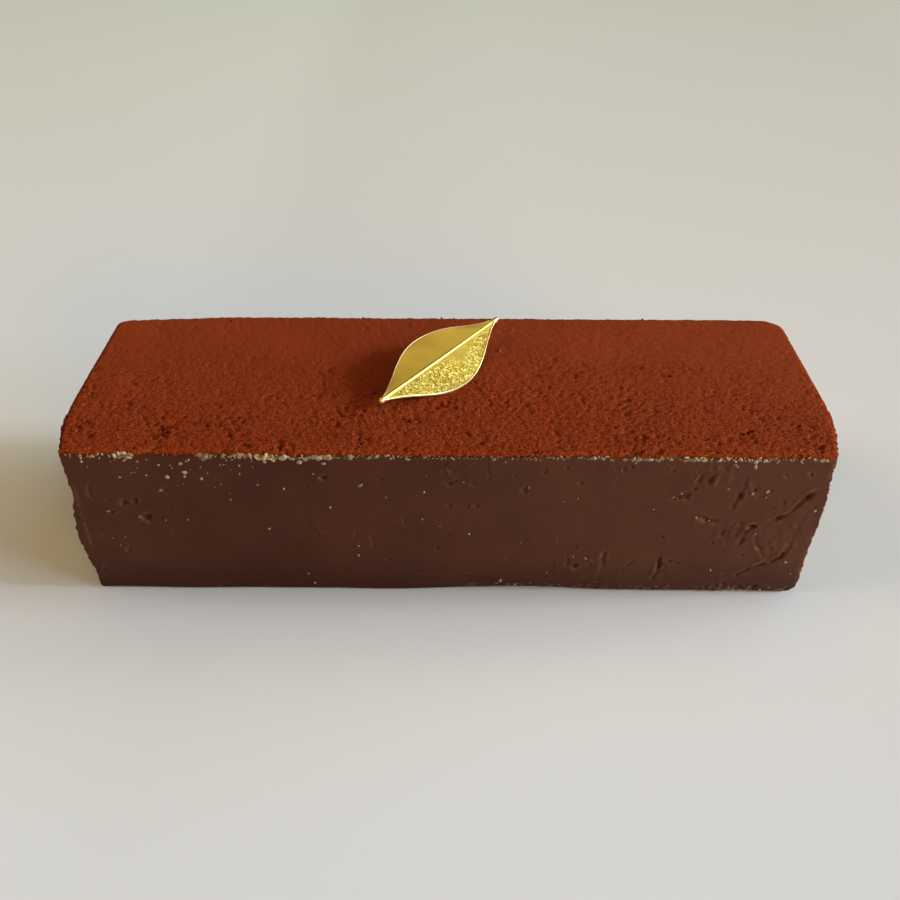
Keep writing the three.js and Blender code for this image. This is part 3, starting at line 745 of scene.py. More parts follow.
def bar_loop_places():
    """The closed loop of (u, v) places round the bar: front, right end, back, left end."""
    front = np.arange(FRONT_COLUMNS) / FRONT_COLUMNS
    ends = row_place(np.arange(END_ROWS) / END_ROWS)
    back = 1 - np.arange(BACK_COLUMNS) / BACK_COLUMNS
    left = row_place(1 - np.arange(END_ROWS) / END_ROWS)
    u = np.concatenate([front, np.ones(END_ROWS), back, np.zeros(END_ROWS)])
    v = np.concatenate([np.zeros(FRONT_COLUMNS), ends, np.ones(BACK_COLUMNS), left])
    return u, v


def wear_and_highlight_of(relief, s, z):
    """Lighter along raised edges, in patches, where the relief stands above its surroundings: partly
    rubbed, partly a painted highlight.
    """
    around = sum(np.roll(relief, shift, axis) for axis in (0, 1) for shift in (-3, -2, 2, 3)) / 8
    patchy = np.clip(0.5 + 1.2 * noise(s / 1.6, z / 1.6, 77), 0, 1)
    return np.clip((relief - around) * 3.5, 0, 1) * patchy


def corner_rub_and_highlight(x, z):
    """A pale line along the left upright corner of the front, and a painted highlight along the right one,
    where the light from the right catches the edge.
    """
    left = bell(x - LEFT_RUB_X, 0.35) * step(z, 13, 17) * step(z, 38, 33)
    right = bell(x - RIGHT_HIGHLIGHT_X, 0.5) * np.maximum(step(z, 3, 6) * step(z, 24, 20), step(z, 39, 41))
    return (left + right) * np.clip(0.6 + 0.8 * noise(x * 0.9, z * 0.9, 78), 0, 1)


def make_bar(material):
    """The bar: four walls with their relief, and a flat base and top."""
    u, v = bar_loop_places()
    levels = TOP * (np.arange(BAR_LEVELS + 1) / BAR_LEVELS)
    u_grid, z_grid = np.meshgrid(u, levels)
    v_grid = np.broadcast_to(v, u_grid.shape)
    x, y = bar_point(u_grid, v_grid, z_grid)

    back_start = FRONT_COLUMNS + END_ROWS
    left_start = back_start + BACK_COLUMNS
    front = slice(0, FRONT_COLUMNS + 1)
    right = slice(FRONT_COLUMNS, back_start + 1)
    back = slice(back_start, left_start + 1)
    left = slice(left_start, None)

    def relief_of(wall, along, seed, marks):
        return wall_relief(along[:, wall], z_grid[:, wall], seed, marks)

    relief_x, relief_y, wear_and_highlight = np.zeros((3, *x.shape))
    to_front = front_relief(x[:, front], z_grid[:, front])
    relief_y[:, front] -= to_front
    relief_y[:, back] += relief_of(back, x, 4, drawn_marks(**BACK_MARKS))
    relief_x[:, right] += relief_of(right, y, 5, drawn_marks(**RIGHT_MARKS))
    relief_x[:, left] -= relief_of(left, y, 6, drawn_marks(**LEFT_MARKS))
    # The front's raised edges and upright corners, paler: partly rubbed, partly a painted highlight.
    wear_and_highlight[:, front] = wear_and_highlight_of(to_front, x[:, front], z_grid[:, front])
    wear_and_highlight[:, front] += corner_rub_and_highlight(x[:, front], z_grid[:, front])

    at_left = u_grid < 0.5
    from_corner = np.minimum(u_grid, 1 - u_grid) * LENGTH + v_grid * WIDTH
    rough = 0.30 * noise(z_grid / 1.1, u_grid, 64) + 0.16 * noise(z_grid / 0.5, u_grid, 65)
    rough = rough + CORNER_LUMP["height"] * bell(z_grid - CORNER_LUMP["z"], CORNER_LUMP["reach"]) * at_left
    outward = np.where(at_left, -1.0, 1.0)
    x = x + relief_x + outward * rough * bell(from_corner, 1.1) * step(z_grid, 1.0, 3.0)
    y = y + relief_y
    rim = 0.18 * fractal(x / 2.5, y / 2.5, 21, 2) * step(z_grid, TOP - 3, TOP)
    z = z_grid + np.where(z_grid > 0, rim, 0.0)

    points = np.stack([x, y, z], axis=-1).reshape(-1, 3)
    count = len(u)
    bottom = np.arange(count)
    faces = []
    for level in range(BAR_LEVELS):
        ring = level * count + bottom
        faces += band_quads(ring, ring + count)
    sides = (FRONT_COLUMNS, END_ROWS, BACK_COLUMNS)
    faces += turned(cap_triangles(bottom, *sides)) + cap_triangles(bottom + BAR_LEVELS * count, *sides)
    piece = new_object("chocolate_bar", points, faces, material, values={"wear_and_highlight": wear_and_highlight})
    finish_piece(piece, "chocolate", "marquise")


# ---- The cocoa ----

COCOA_COLUMNS = 540
COCOA_ROWS = 170
# Its grains: their pitch, how high they stand, and the seed of their draws.
CLUMPS = {"pitch": 0.95, "share": 0.28, "seed": 42}
BITS = {"pitch": 0.58, "share": 0.25, "seed": 43}
HEAPS = {"pitch": 2.3, "share": 0.16, "seed": 39}
# Which way the streaks in the cocoa run: so far to the right for so far to the front.
STREAK_RIGHT, STREAK_FORWARD = 0.45, 0.89
COCOA_THINNEST = 0.04
COCOA_SUNK_IN = 0.25
# Places where the cocoa lies thin and dark: middle and radius.
DARK_SPOTS = [(-72.0, -25.2, 2.8), (-9.3, -20.2, 2.6), (76.2, -24.3, 2.4), (93.0, -31.0, 2.0)]


def leaf_press(x, y):
    """How far the leaf presses the cocoa down, as a share of the dip's depth."""
    off_x, off_y = x - LEAF_REST["x"], y - LEAF_REST["y"]
    cos_turn, sin_turn = math.cos(LEAF_REST["turn"]), math.sin(LEAF_REST["turn"])
    along = (off_x * cos_turn + off_y * sin_turn) / LEAF_REST["half_length"]
    across = (off_y * cos_turn - off_x * sin_turn) / LEAF_REST["half_width"]
    return np.clip(1 - along ** 2 - across ** 2, 0, None)


def cocoa_height(x, y):
    """The cocoa's top above the chocolate, and how high in its own relief each point is."""
    coarse = 0.24 + 0.37 * step(-y, -22, 14) + 0.12 * noise(x / 13, y / 13, 41)
    coarse = coarse * (1 - 0.25 * step(x, -30, -80)) * (1 - 0.18 * step(x, 20, 70))
    streak = step(x, 60, -10)
    flow_x = (STREAK_FORWARD * x + STREAK_RIGHT * y) * (1 + 0.25 * streak)
    flow_y = (STREAK_RIGHT * x - STREAK_FORWARD * y) * (1 - 0.38 * streak)
    clumps, bits, heaps = (grains(flow_x, flow_y, kind["pitch"], kind["seed"])
                           for kind in (CLUMPS, BITS, HEAPS))
    fine = CLUMPS["share"] * clumps + BITS["share"] * bits + 0.06 * noise(x / 0.5, y / 0.5, 44)
    relief = coarse * fine + (coarse + 0.3) * HEAPS["share"] * heaps
    gaps = np.clip(noise(flow_x / 1.3, flow_y / 0.8, 53) - 0.28, 0, 0.5)
    gaps = gaps * step(noise(x / 7, y / 7, 54), -0.4, 0.4) * (0.4 + 0.6 * step(-y, -18, 4))
    relief = relief - (0.34 + 0.5 * coarse) * gaps
    for spot_x, spot_y, radius in DARK_SPOTS:
        near = np.exp(-((x - spot_x) ** 2 + (y - spot_y) ** 2) / radius ** 2)
        relief = relief - 0.5 * near * np.clip(0.35 + noise(x / 0.7, y / 0.7, 51), 0, 1)
    pressed = leaf_press(x, y)
    relief = relief * (1 - 0.7 * pressed)
    drift = 0.10 * fractal(x / 14, y / 14, 45, 2) * (1 - pressed)
    return COCOA_DEPTH + drift + relief - LEAF_REST["depth"] * pressed, np.clip(0.5 + 1.6 * relief, 0, 1)


def make_cocoa(material):
    """The cocoa: a clumped top with a ragged edge, and a flat underside in the chocolate."""
    columns = np.arange(COCOA_COLUMNS + 1) / COCOA_COLUMNS
    share = np.arange(COCOA_ROWS + 1) / COCOA_ROWS
    u, v = np.meshgrid(columns, 0.8 * share + 0.2 * share ** 2)
    x, y = bar_point(u, v, np.full(u.shape, TOP))
    x = x * (1 + 2 * COCOA_END_REACH / LENGTH)
    y = y * (1 + 2 * np.where(y < 0, -COCOA_RIM_INSET, COCOA_END_REACH) / WIDTH)

    end_edge = np.minimum(u, 1 - u) * LENGTH
    edge = np.minimum(end_edge, np.minimum(v, 1 - v) * WIDTH)
    ragged = bell(edge, 0.6)
    x = x + ragged * (0.38 * noise(x / 0.8, y / 0.8, 46) + 0.12 * noise(x / 0.4, y / 0.4, 48))
    y = y + ragged * (0.30 * noise(x / 0.8, y / 0.8, 47) + 0.12 * noise(x / 0.4, y / 0.4, 49))
    x, y = np.clip(x, -LENGTH / 2, LENGTH / 2), np.clip(y, -WIDTH / 2, WIDTH / 2)
    height, in_relief = cocoa_height(x, y)
    height = height * (0.6 + 0.4 * step(edge, 0.0, 1.1))
    rubbed = bell(end_edge, 1.1) * np.clip(0.85 + 0.6 * noise(x / 1.5, y / 1.5, 52), 0, 1)
    in_relief = in_relief * (1 - np.where(u < 0.5, 1.0, 0.7) * rubbed)
    top_z = TOP + np.clip(height, COCOA_THINNEST, None)
    low_z = np.full(u.shape, TOP - COCOA_SUNK_IN)

    loop = border_loop(np.arange(u.size).reshape(u.shape))
    top_points = np.stack([x, y, top_z], axis=-1).reshape(-1, 3)
    low_points = np.stack([x, y, low_z], axis=-1).reshape(-1, 3)[loop]
    low_loop = len(top_points) + np.arange(len(loop))
    faces = grid_quads(*u.shape) + band_quads(low_loop, loop)
    faces += turned(cap_triangles(low_loop, COCOA_COLUMNS, COCOA_ROWS, COCOA_COLUMNS))
    # Each point's relief level, which the cocoa's material uses to paint shade where it is low.
    values = {"height": np.concatenate([in_relief.ravel(), np.full(len(loop), 0.5)])}
    points = np.concatenate([top_points, low_points])
    piece = new_object("cocoa_dusting", points, faces, material, values=values)
    finish_piece(piece, "cocoa", "cocoa_coat")


# ---- Crumbs and specks ----

def ball_mesh(subdivisions):
    """Points and triangles of a round ball of radius 1."""
    ball = bmesh.new()
    bmesh.ops.create_icosphere(ball, subdivisions=subdivisions, radius=1.0)
    points = np.array([vertex.co[:] for vertex in ball.verts])
    faces = np.array([[vertex.index for vertex in face.verts] for face in ball.faces])
    ball.free()
    return points, faces


def lump_piece(name, lumps, material, slot, seed, subdivisions=1, knobbly=0.28):
    """Many small uneven lumps as one mesh: each is (place, sizes, turn, tone)."""
    ball, ball_faces = ball_mesh(subdivisions)
    points, faces, tones = [], [], []
    for k, (place, sizes, turn, tone) in enumerate(lumps):
        rough = 1 + knobbly * (2 * cell_draw(np.arange(len(ball)), k, seed) - 1)
        shape = ball * rough[:, None] * np.array(sizes) / 2
        spin = np.array(Matrix.Rotation(turn, 3, "Y"))
        faces.append(ball_faces + len(ball) * k)
        points.append(shape @ spin.T + np.array(place))
        tones.append(np.full(len(ball), tone))
    points, faces = np.concatenate(points), np.concatenate(faces).tolist()
    piece = new_object(name, points, faces, material, values={"tone": np.concatenate(tones)})
    finish_piece(piece, slot)


def front_wall_y(x, z):
    """The front wall's y at a place, with its relief."""
    left, right = LEFT_END["front_inset"], RIGHT_END["front_inset"]
    u = (x + LENGTH / 2 - left) / (LENGTH - left - right)
    _, y = bar_point(one(u), one(0.0), one(z))
    return float(y[0] - front_relief(one(x), one(z))[0])


# Pale specks on the front: place along the bar, height, breadth, height of the speck, tone.
SPECKS = [
    (-91.1, 44.3, 1.0, 0.9, 0.8), (-90.0, 42.7, 0.5, 0.5, 0.2), (-84.0, 44.3, 0.5, 0.4, 0.4),
    (-83.0, 44.6, 0.5, 0.4, 0.5), (-80.6, 44.5, 1.1, 0.6, 0.7), (-77.4, 44.2, 0.9, 0.5, 0.5),
    (-75.0, 44.8, 0.5, 0.4, 0.5), (-79.7, 40.6, 0.6, 0.4, 0.4), (-78.8, 40.8, 0.6, 0.4, 0.5),
    (-77.8, 42.0, 0.5, 0.4, 0.3), (-82.7, 39.3, 0.9, 0.7, 0.8), (-76.0, 39.8, 0.6, 0.6, 0.7),
    (-72.3, 43.1, 0.8, 0.6, 0.7), (-69.5, 43.0, 0.6, 0.5, 0.6), (-69.1, 42.3, 0.5, 0.4, 0.6),
    (-70.9, 39.3, 1.5, 1.3, 0.9), (-66.8, 43.7, 1.1, 1.0, 0.8), (-66.2, 41.0, 1.6, 1.2, 0.9),
    (-66.4, 39.6, 0.8, 1.2, 0.9), (-65.2, 44.5, 0.7, 0.5, 0.7), (-64.5, 44.9, 0.7, 0.6, 0.7),
    (-62.3, 38.9, 1.0, 1.1, 0.7), (-64.6, 41.8, 0.4, 0.3, 0.4), (-61.9, 42.7, 0.5, 0.7, 0.3),
    (-60.5, 40.7, 0.4, 0.4, 0.4), (-57.0, 43.3, 0.9, 0.4, 0.7), (-56.0, 43.5, 0.6, 0.3, 0.6),
    (-52.5, 40.5, 0.5, 0.9, 0.4), (-54.5, 41.8, 0.4, 0.3, 0.4), (-52.2, 43.2, 0.7, 0.6, 0.6),
    (-53.8, 45.1, 0.9, 0.5, 0.6), (-55.2, 44.8, 0.5, 0.4, 0.5), (-57.7, 37.0, 0.6, 0.4, 0.3),
    (-59.3, 36.0, 0.5, 0.5, 0.3), (-55.8, 34.1, 0.4, 0.5, 0.3), (-55.9, 32.1, 0.6, 0.7, 0.4),
    (-73.4, 35.0, 1.4, 1.1, 0.2), (-67.2, 37.1, 0.4, 0.4, 0.4), (-68.6, 36.7, 0.7, 0.4, 0.2),
    (-80.2, 26.3, 0.7, 0.9, 0.5), (-88.1, 28.0, 1.0, 0.6, 0.4), (-87.3, 16.1, 0.6, 0.5, 0.4),
    (-88.7, 18.5, 0.5, 0.4, 0.5), (-85.3, 19.3, 0.4, 0.8, 0.2), (-73.7, 25.0, 0.5, 0.9, 0.2),
    (-68.0, 25.1, 0.6, 0.5, 0.4), (-45.8, 44.5, 1.4, 1.2, 0.6), (-37.2, 44.5, 1.7, 1.2, 0.9),
    (-35.5, 45.3, 1.1, 0.6, 0.7), (-31.3, 44.1, 1.2, 0.8, 0.8), (-33.8, 45.8, 0.6, 0.5, 0.6),
    (-49.0, 42.7, 0.4, 0.5, 0.5), (-48.9, 44.7, 0.5, 0.5, 0.6), (-34.0, 40.8, 0.5, 0.6, 0.5),
    (-22.5, 37.1, 1.9, 0.9, 0.4), (-30.6, 29.7, 0.7, 0.9, 0.5), (-41.9, 35.9, 0.7, 1.1, 0.4),
    (-48.4, 37.1, 0.7, 0.8, 0.3), (-47.1, 22.2, 0.7, 0.7, 1.0), (-24.0, 16.4, 0.6, 0.6, 1.0),
    (-24.2, 12.9, 0.6, 1.2, 0.3), (-16.2, 33.2, 0.5, 0.4, 0.6), (-6.4, 34.8, 0.7, 0.7, 1.0),
    (-8.3, 33.8, 0.5, 0.4, 0.2), (-5.8, 40.2, 0.4, 0.7, 0.2), (-7.0, 25.7, 0.4, 0.6, 0.9),
    (-2.4, 23.5, 0.6, 0.5, 0.5), (-38.2, 5.9, 0.6, 0.5, 0.5), (-36.8, 2.3, 0.8, 0.8, 0.5),
    (-19.9, 45.7, 0.9, 0.7, 0.5), (-10.7, 45.8, 0.8, 0.7, 0.5), (5.3, 20.7, 0.8, 0.9, 1.0),
    (28.4, 19.4, 0.5, 0.5, 0.4), (19.0, 17.9, 0.5, 0.6, 0.4), (26.7, 6.6, 0.6, 0.5, 0.4),
    (14.1, 3.1, 1.0, 1.3, 0.8), (33.3, 12.9, 0.5, 0.9, 0.8), (36.7, 12.2, 0.6, 1.4, 0.6),
    (13.9, 45.0, 0.5, 0.6, 0.5), (3.5, 38.4, 0.6, 0.5, 0.4), (20.1, 36.8, 0.6, 1.0, 0.4),
    (32.8, 33.2, 0.5, 1.0, 0.5), (29.4, 32.2, 0.6, 0.5, 0.4), (42.9, 42.6, 0.6, 1.1, 0.5),
    (46.1, 44.7, 0.6, 0.8, 0.6), (52.6, 29.7, 0.5, 0.5, 0.8), (63.9, 27.1, 0.8, 0.7, 0.9),
    (67.5, 25.6, 0.6, 0.5, 0.8), (76.8, 35.3, 1.1, 1.0, 0.6), (80.6, 35.8, 1.2, 1.1, 0.8),
    (80.5, 33.9, 0.6, 0.9, 0.3), (70.3, 36.8, 1.2, 0.8, 0.2), (57.0, 33.6, 1.0, 0.8, 0.5),
    (58.9, 34.9, 0.9, 0.9, 0.5), (94.1, 29.5, 1.0, 0.8, 0.9), (90.5, 11.4, 1.0, 0.6, 0.9),
    (89.3, 10.7, 0.5, 0.5, 0.4), (92.7, 7.1, 0.8, 0.6, 0.4), (70.9, 8.2, 0.6, 0.9, 0.9),
    (74.2, 6.9, 0.5, 0.6, 0.5), (89.9, 41.8, 0.7, 0.6, 0.6), (60.2, 2.0, 0.9, 0.6, 0.4),
    (80.2, 21.7, 1.2, 0.8, 0.3), (70.6, 44.5, 1.6, 0.5, 0.5), (71.4, 43.9, 0.9, 0.5, 0.5),
    (66.4, 45.7, 1.3, 0.6, 0.7), (90.0, 46.1, 1.3, 0.9, 0.5), (87.0, 46.0, 1.2, 0.6, 0.5),
]

# Pale flakes along the top edge of the front, which are partly crumbs and partly a painted highlight of the
# cut edge: the stretch that each run covers, how closely they lie in it, how big they are, and how pale.
FLAKE_RUNS = [
    (-95, -84, 0.7, 0.8, 0.55), (-84, -78.5, 2.6, 1.4, 1.0), (-78, -63, -0.3, 0.6, 0.3),
    (-62.5, -59, 3.0, 1.3, 0.5), (-59, -50, 1.6, 1.0, 0.8), (-50, -30, 2.6, 1.3, 0.9),
    (-30, -22, 1.5, 1.1, 0.65), (-22, 8, 0.9, 0.75, 0.35), (8, 34, 0.8, 0.65, 0.3),
    (34, 58, 1.6, 0.95, 0.6), (58, 82, 1.9, 1.0, 0.85), (82, 95, 1.0, 0.85, 0.5),
]

# Single flakes that hang over the edge: place, height, breadth, height of the flake, tone.
HANGING_FLAKES = [
    (-80.4, 46.4, 2.6, 1.3, 1.0), (-60.4, 45.6, 2.4, 1.4, 0.4), (-61.0, 45.0, 1.0, 0.9, 0.4),
    (-40.8, 45.9, 1.8, 1.7, 1.0), (-41.4, 45.3, 1.0, 1.0, 0.9), (-51.5, 46.3, 1.3, 1.0, 0.8),
    (75.6, 45.4, 1.6, 1.7, 0.8), (75.9, 44.0, 1.1, 2.1, 0.75), (35.8, 46.0, 1.2, 1.0, 0.8),
    (49.4, 45.8, 1.4, 1.0, 0.6), (-15.6, 46.2, 1.9, 0.7, 0.6),
]


CRUST_GRAINS = 300
CORNER_GRAINS = 210
DUST_GRAINS = 900
# The two stretches of the painted highlight on the right upright corner, from the foot up.
LOWER_HIGHLIGHT, UPPER_HIGHLIGHT = (4, 30), (33, 45)
# How far into the wall the middles of the crumbs lie; the flat specks' lie outside it.
SPECK_OUTSIDE = 0.06
CRUST_INSIDE = 0.05
FLAKE_INSIDE = 0.14


def speck_lumps():
    """The specks and the hanging flakes, set a little into the front."""
    lumps = []
    for k, (x, z, broad, high, tone) in enumerate(SPECKS + HANGING_FLAKES):
        turn = 1.2 * (float(cell_draw(k, 3, 81)) - 0.5)
        place = (x, front_wall_y(x, z) - SPECK_OUTSIDE, z)
        lumps.append((place, (broad, 0.42 + 0.2 * min(broad, high), high), turn, tone))
    return lumps


def crust_lumps():
    """The rough dark crust along the foot of the front, towards the right."""
    lumps = []
    for k in range(CRUST_GRAINS):
        pick = picks(k, 6, 95)
        x = 92.5 - 88 * pick[0] ** 1.5
        size = 0.35 + 0.55 * pick[2] ** 2
        z = max(0.35 + 1.5 * pick[1] ** 2, 0.45 * size + 0.05)
        tone = 0.9 if k % 23 == 0 else 0.22 * pick[3]
        place = (x, front_wall_y(x, z) + CRUST_INSIDE, z)
        lumps.append((place, (size * (1 + pick[4]), 0.5 * size, 0.7 * size), 0.8 * (pick[5] - 0.5), tone))
    return lumps


def flake_lumps():
    """The pale flakes of every run, which lie on the front's top edge or just below it: partly crumbs,
    partly a painted highlight of the cut edge.
    """
    lumps = []
    for run, (start, end, density, size, tone) in enumerate(FLAKE_RUNS):
        for k in range(int((end - start) * (density * 1.7 + 0.9))):
            pick = picks(k, 8, 90 + run)
            x = start + (end - start) * pick[0]
            big = size * (0.35 + 1.45 * pick[3] ** 2.5)
            z = TOP - 0.22 + 0.7 * (pick[1] - 0.5) - 0.3 * big * pick[6]
            y = front_wall_y(x, min(z, TOP - 0.7)) + FLAKE_INSIDE + 0.35 * pick[2] * (z > TOP - 0.25)
            sizes = (big * (0.55 + 0.75 * pick[7]), 0.35 + 0.2 * big, 0.22 + 0.6 * big * pick[4])
            lumps.append(((x, y, z), sizes, 2.4 * (pick[5] - 0.5), tone * (0.05 + 1.1 * pick[2] ** 1.7)))
    return lumps


# Clods in the cocoa: place, across, height. All but one are dark.
PALE_CLOD = (14.4, 15.0, 1.0, 0.8)
CLODS = [
    (-72.6, -24.6, 1.9, 1.0), (-71.2, -25.6, 1.5, 0.9), (-73.4, -23.0, 1.2, 0.8), (-70.6, -23.6, 1.1, 0.7),
    (-72.0, -27.0, 1.2, 0.8), (-10.2, -20.3, 1.4, 0.8), (-8.8, -19.7, 1.2, 0.8), (-7.4, -20.6, 1.0, 0.6),
    (-11.6, -19.6, 0.9, 0.6), (76.0, -24.2, 1.3, 0.8), (77.4, -23.4, 1.0, 0.7), (74.8, -25.2, 1.0, 0.7),
    (54.0, 6.0, 1.2, 0.6), (61.0, 2.0, 1.2, 0.6), PALE_CLOD, (-66.0, 31.0, 0.9, 0.7),
    (-26.5, 33.5, 0.8, 0.7), (-2.7, 33.9, 0.7, 0.5), (58.5, 33.9, 0.8, 0.6), (-38.4, 33.9, 0.5, 0.4),
    (-40.0, 33.9, 0.5, 0.3), (1.0, 33.9, 0.5, 0.4), (30.0, 33.5, 0.5, 0.4), (-22.0, -30.0, 1.0, 0.7),
]


def clod_lumps():
    """The clods, each resting in the cocoa."""
    lumps = []
    for k, clod in enumerate(CLODS):
        x, y, broad, high = clod
        z = TOP + float(cocoa_height(one(x), one(y))[0][0]) - 0.1 + 0.15 * high
        lumps.append(((x, y, z), (broad, 0.8 * broad, high), 0.6 * (k % 3 - 1), float(clod == PALE_CLOD)))
    return lumps


def corner_highlight_lumps(pale):
    """The pale or the orange grains of the painted highlight on the front's upright corner at the right,
    where the light from the right catches the edge.
    """
    lumps = []
    for k in range(CORNER_GRAINS):
        pick = picks(k, 6, 99)
        low, high = LOWER_HIGHLIGHT if k % 5 else UPPER_HIGHLIGHT
        z = low + (high - low) * pick[0]
        x, y = bar_point(one(1.0), one(0.012 * pick[1]), one(z))
        size = 0.28 + 0.5 * pick[2] ** 2
        place = (x[0] + 0.04 - 0.22 * pick[3] - 0.22 * (z > UPPER_HIGHLIGHT[0]), y[0] + 0.04, z)
        if pale == (k % 3 == 0):
            tone = 0.3 + 0.5 * pick[5] if pale else 0.6 + 0.6 * pick[5]
            lumps.append((place, (0.7 * size, size, size * (1 + pick[4])), 0.3, tone))
    return lumps


def dust_lumps():
    """Grains of cocoa that cling to the upright edges at both ends and below the rim."""
    lumps = []
    for k in range(DUST_GRAINS):
        pick = picks(k, 6, 97)
        at_right = pick[0] < 0.62
        v = pick[1] ** 2.2
        z = TOP - 0.2 - (3.0 + 34 * float(pick[2] < 0.25)) * pick[3] ** 1.5
        x, y = bar_point(one(float(at_right)), one(v), one(z))
        size = 0.28 + 0.35 * pick[4] ** 2
        x = min(max(x[0], -LENGTH / 2 + size / 2), LENGTH / 2 - size / 2)
        x = x if at_right else x + 0.16 * (z < 40)
        tone = 0.3 + 0.5 * pick[5] if at_right else 0.2 * pick[5]
        lumps.append(((x, y[0], z), (size, size, 0.8 * size), 0.0, tone))
    return lumps


# ---- The leaf ----

LEAF_STEPS = 240
LEAF_STRIPS = 120
LEAF_TIP_HALF_WIDTH = 0.3
LEAF_MIDRIB_RISE = 0.42
LEAF_KNOB_RISE = 0.45
LEAF_RIGHT_RIM_RISE = 0.20
LEAF_LEFT_RIM_RISE = 0.05
LEAF_WAVE = 0.18
LEAF_FACETS = {"pitch": 0.37, "slope": 0.40, "seed": 61}


def leaf_frame():
    """The leaf's directions: across its blade to the left, and out of its upper face."""
    along = (LEAF_HIGH_TIP - LEAF_LOW_TIP) / np.linalg.norm(LEAF_HIGH_TIP - LEAF_LOW_TIP)
    level = np.cross([0.0, 0.0, 1.0], along)
    level = level / np.linalg.norm(level)
    out = np.cross(along, level)
    across = math.cos(LEAF_ROLL) * level + math.sin(LEAF_ROLL) * out
    face = -math.sin(LEAF_ROLL) * level + math.cos(LEAF_ROLL) * out
    return across, face


def knob_share(distance, knob):
    """How far a tip's round knob reaches, as a share of its half width."""
    return np.sqrt(np.clip(1 - (distance / knob["radius"] - 1) ** 2, 0, None))


def leaf_shape(s, t, length):
    """The leaf on a grid: its reach from the midrib, the heights of its faces, and its looks.

    s runs from the low tip to the high one, and t from the right rim to the left one.
    """
    from_low, from_high = s * length, (1 - s) * length
    low_knob, high_knob = knob_share(from_low, LEAF_LOW_KNOB), knob_share(from_high, LEAF_HIGH_KNOB)
    knob = np.maximum(low_knob, high_knob)
    blade = LEAF_TIP_HALF_WIDTH + LEAF_HALF_WIDTH * np.sin(np.pi * s ** 0.96).clip(0) ** 1.57
    blade = blade * np.where(t > 0, LEAF_LEFT_SHARE, 1.0)
    blade = blade * np.minimum(step(from_low, 0, 0.7), step(from_high, 0, 1.0))
    tips = np.maximum(low_knob * LEAF_LOW_KNOB["half_width"], high_knob * LEAF_HIGH_KNOB["half_width"])
    half = np.maximum(tips, blade)
    reach = t * half
    from_edge = (1 - np.abs(t)) * half

    slender = 0.17 + 0.13 * (1 - s) ** 2
    midrib = LEAF_MIDRIB_RISE * bell(np.abs(reach), slender) * (0.55 + 0.45 * (1 - s))
    rounded = LEAF_KNOB_RISE * knob * np.sqrt(np.clip(1 - t ** 2, 0, None))
    midrib = np.maximum(midrib * step(from_low, 0, 1.2), rounded)
    right_rim = LEAF_RIGHT_RIM_RISE * bell(from_edge - 0.24, 0.16) * (t < 0) * (1 - knob)
    left_rim = LEAF_LEFT_RIM_RISE * bell(from_edge, 0.14) * (t > 0) * (1 - knob)
    right = step(-reach, 0.5, 1.0) * step(from_edge, 0.3, 0.6)
    near_edge = (1 - 0.75 * step(from_edge, 3.5, 7.0) * step(s, 0.35, 0.6)) * step(s, 0.95, 0.78)
    hammered = right * np.clip(near_edge + 0.35 * noise(from_low / 3, reach / 3, 62), 0, 1)
    hammer = hammered * facets(from_low, reach, **LEAF_FACETS)
    marks = 0.05 * np.clip(noise(from_low / 0.9, reach / 0.9, 66) - 0.75, 0, None)
    smooth_side = 0.010 * fractal(from_low / 2.5, reach / 2.5, 63, 2) + marks
    wave = LEAF_WAVE * np.sin(2 * np.pi * 3 * s + 1.5 * t) * t ** 2
    form = wave - math.sin(LEAF_RIDGE) * np.abs(reach)
    above = form + midrib + right_rim + left_rim + hammer + smooth_side + LEAF_THICKNESS / 2 - 0.15
    below = form - LEAF_THICKNESS / 2 + 0.1

    # The midrib and the lower right rim carry a painted highlight in the leaf's material.
    high_right = (t < 0) * step(s, 0.68, 0.80)
    rim = bell(from_edge, 0.36) * (t < 0) * (1 - 0.8 * high_right)
    looks = {"ridge_highlight": np.clip(midrib / 0.35 + rim, 0, 1), "hammered": hammered,
             "rim": rim * step(s, 0.8, 0.6) * np.clip(1 - midrib / 0.2, 0, 1),
             "dusty": bell(from_edge, 0.24) * ((t > 0) + high_right) * (1 - knob)}
    return reach, above, below, looks


def make_leaf(material):
    """The leaf: one grid of points for its upper face, one for the lower, joined at the rim."""
    even = np.linspace(0, 1, LEAF_STEPS + 1)
    places = 0.6 * even + 0.4 * (0.5 - 0.5 * np.cos(np.pi * even))
    s, t = np.meshgrid(places, np.linspace(-1, 1, LEAF_STRIPS + 1), indexing="ij")
    reach, above, below, looks = leaf_shape(s, t, np.linalg.norm(LEAF_HIGH_TIP - LEAF_LOW_TIP))
    across, face = leaf_frame()
    base = LEAF_LOW_TIP + s[..., None] * (LEAF_HIGH_TIP - LEAF_LOW_TIP)
    base = base + (reach * math.cos(LEAF_RIDGE))[..., None] * across
    points = np.concatenate([(base + height[..., None] * face).reshape(-1, 3) for height in (above, below)])

    # Both faces are split into triangles along the same diagonals.
    faces = [[b, c, d, a] for a, b, c, d in grid_quads(*s.shape)]
    faces += turned(grid_quads(*s.shape, first=s.size))
    loop = border_loop(np.arange(s.size).reshape(s.shape).T)
    faces += band_quads(loop + s.size, loop)
    values = {name: np.concatenate([look.ravel(), np.zeros(s.size)]) for name, look in looks.items()}
    piece = new_object("gold_leaf_blade", points, faces, material, values=values)
    finish_piece(piece, "gilt", "gold_leaf")


# ---- Surroundings ----

FLOOR_HALF_SIZE = 4.0


def make_floor():
    size = FLOOR_HALF_SIZE
    points = np.array([(-size, -size, 0), (size, -size, 0), (size, size, 0), (-size, size, 0)]) / MM
    floor = new_object("floor", points, [[0, 1, 2, 3]], floor_material(), smooth=False)


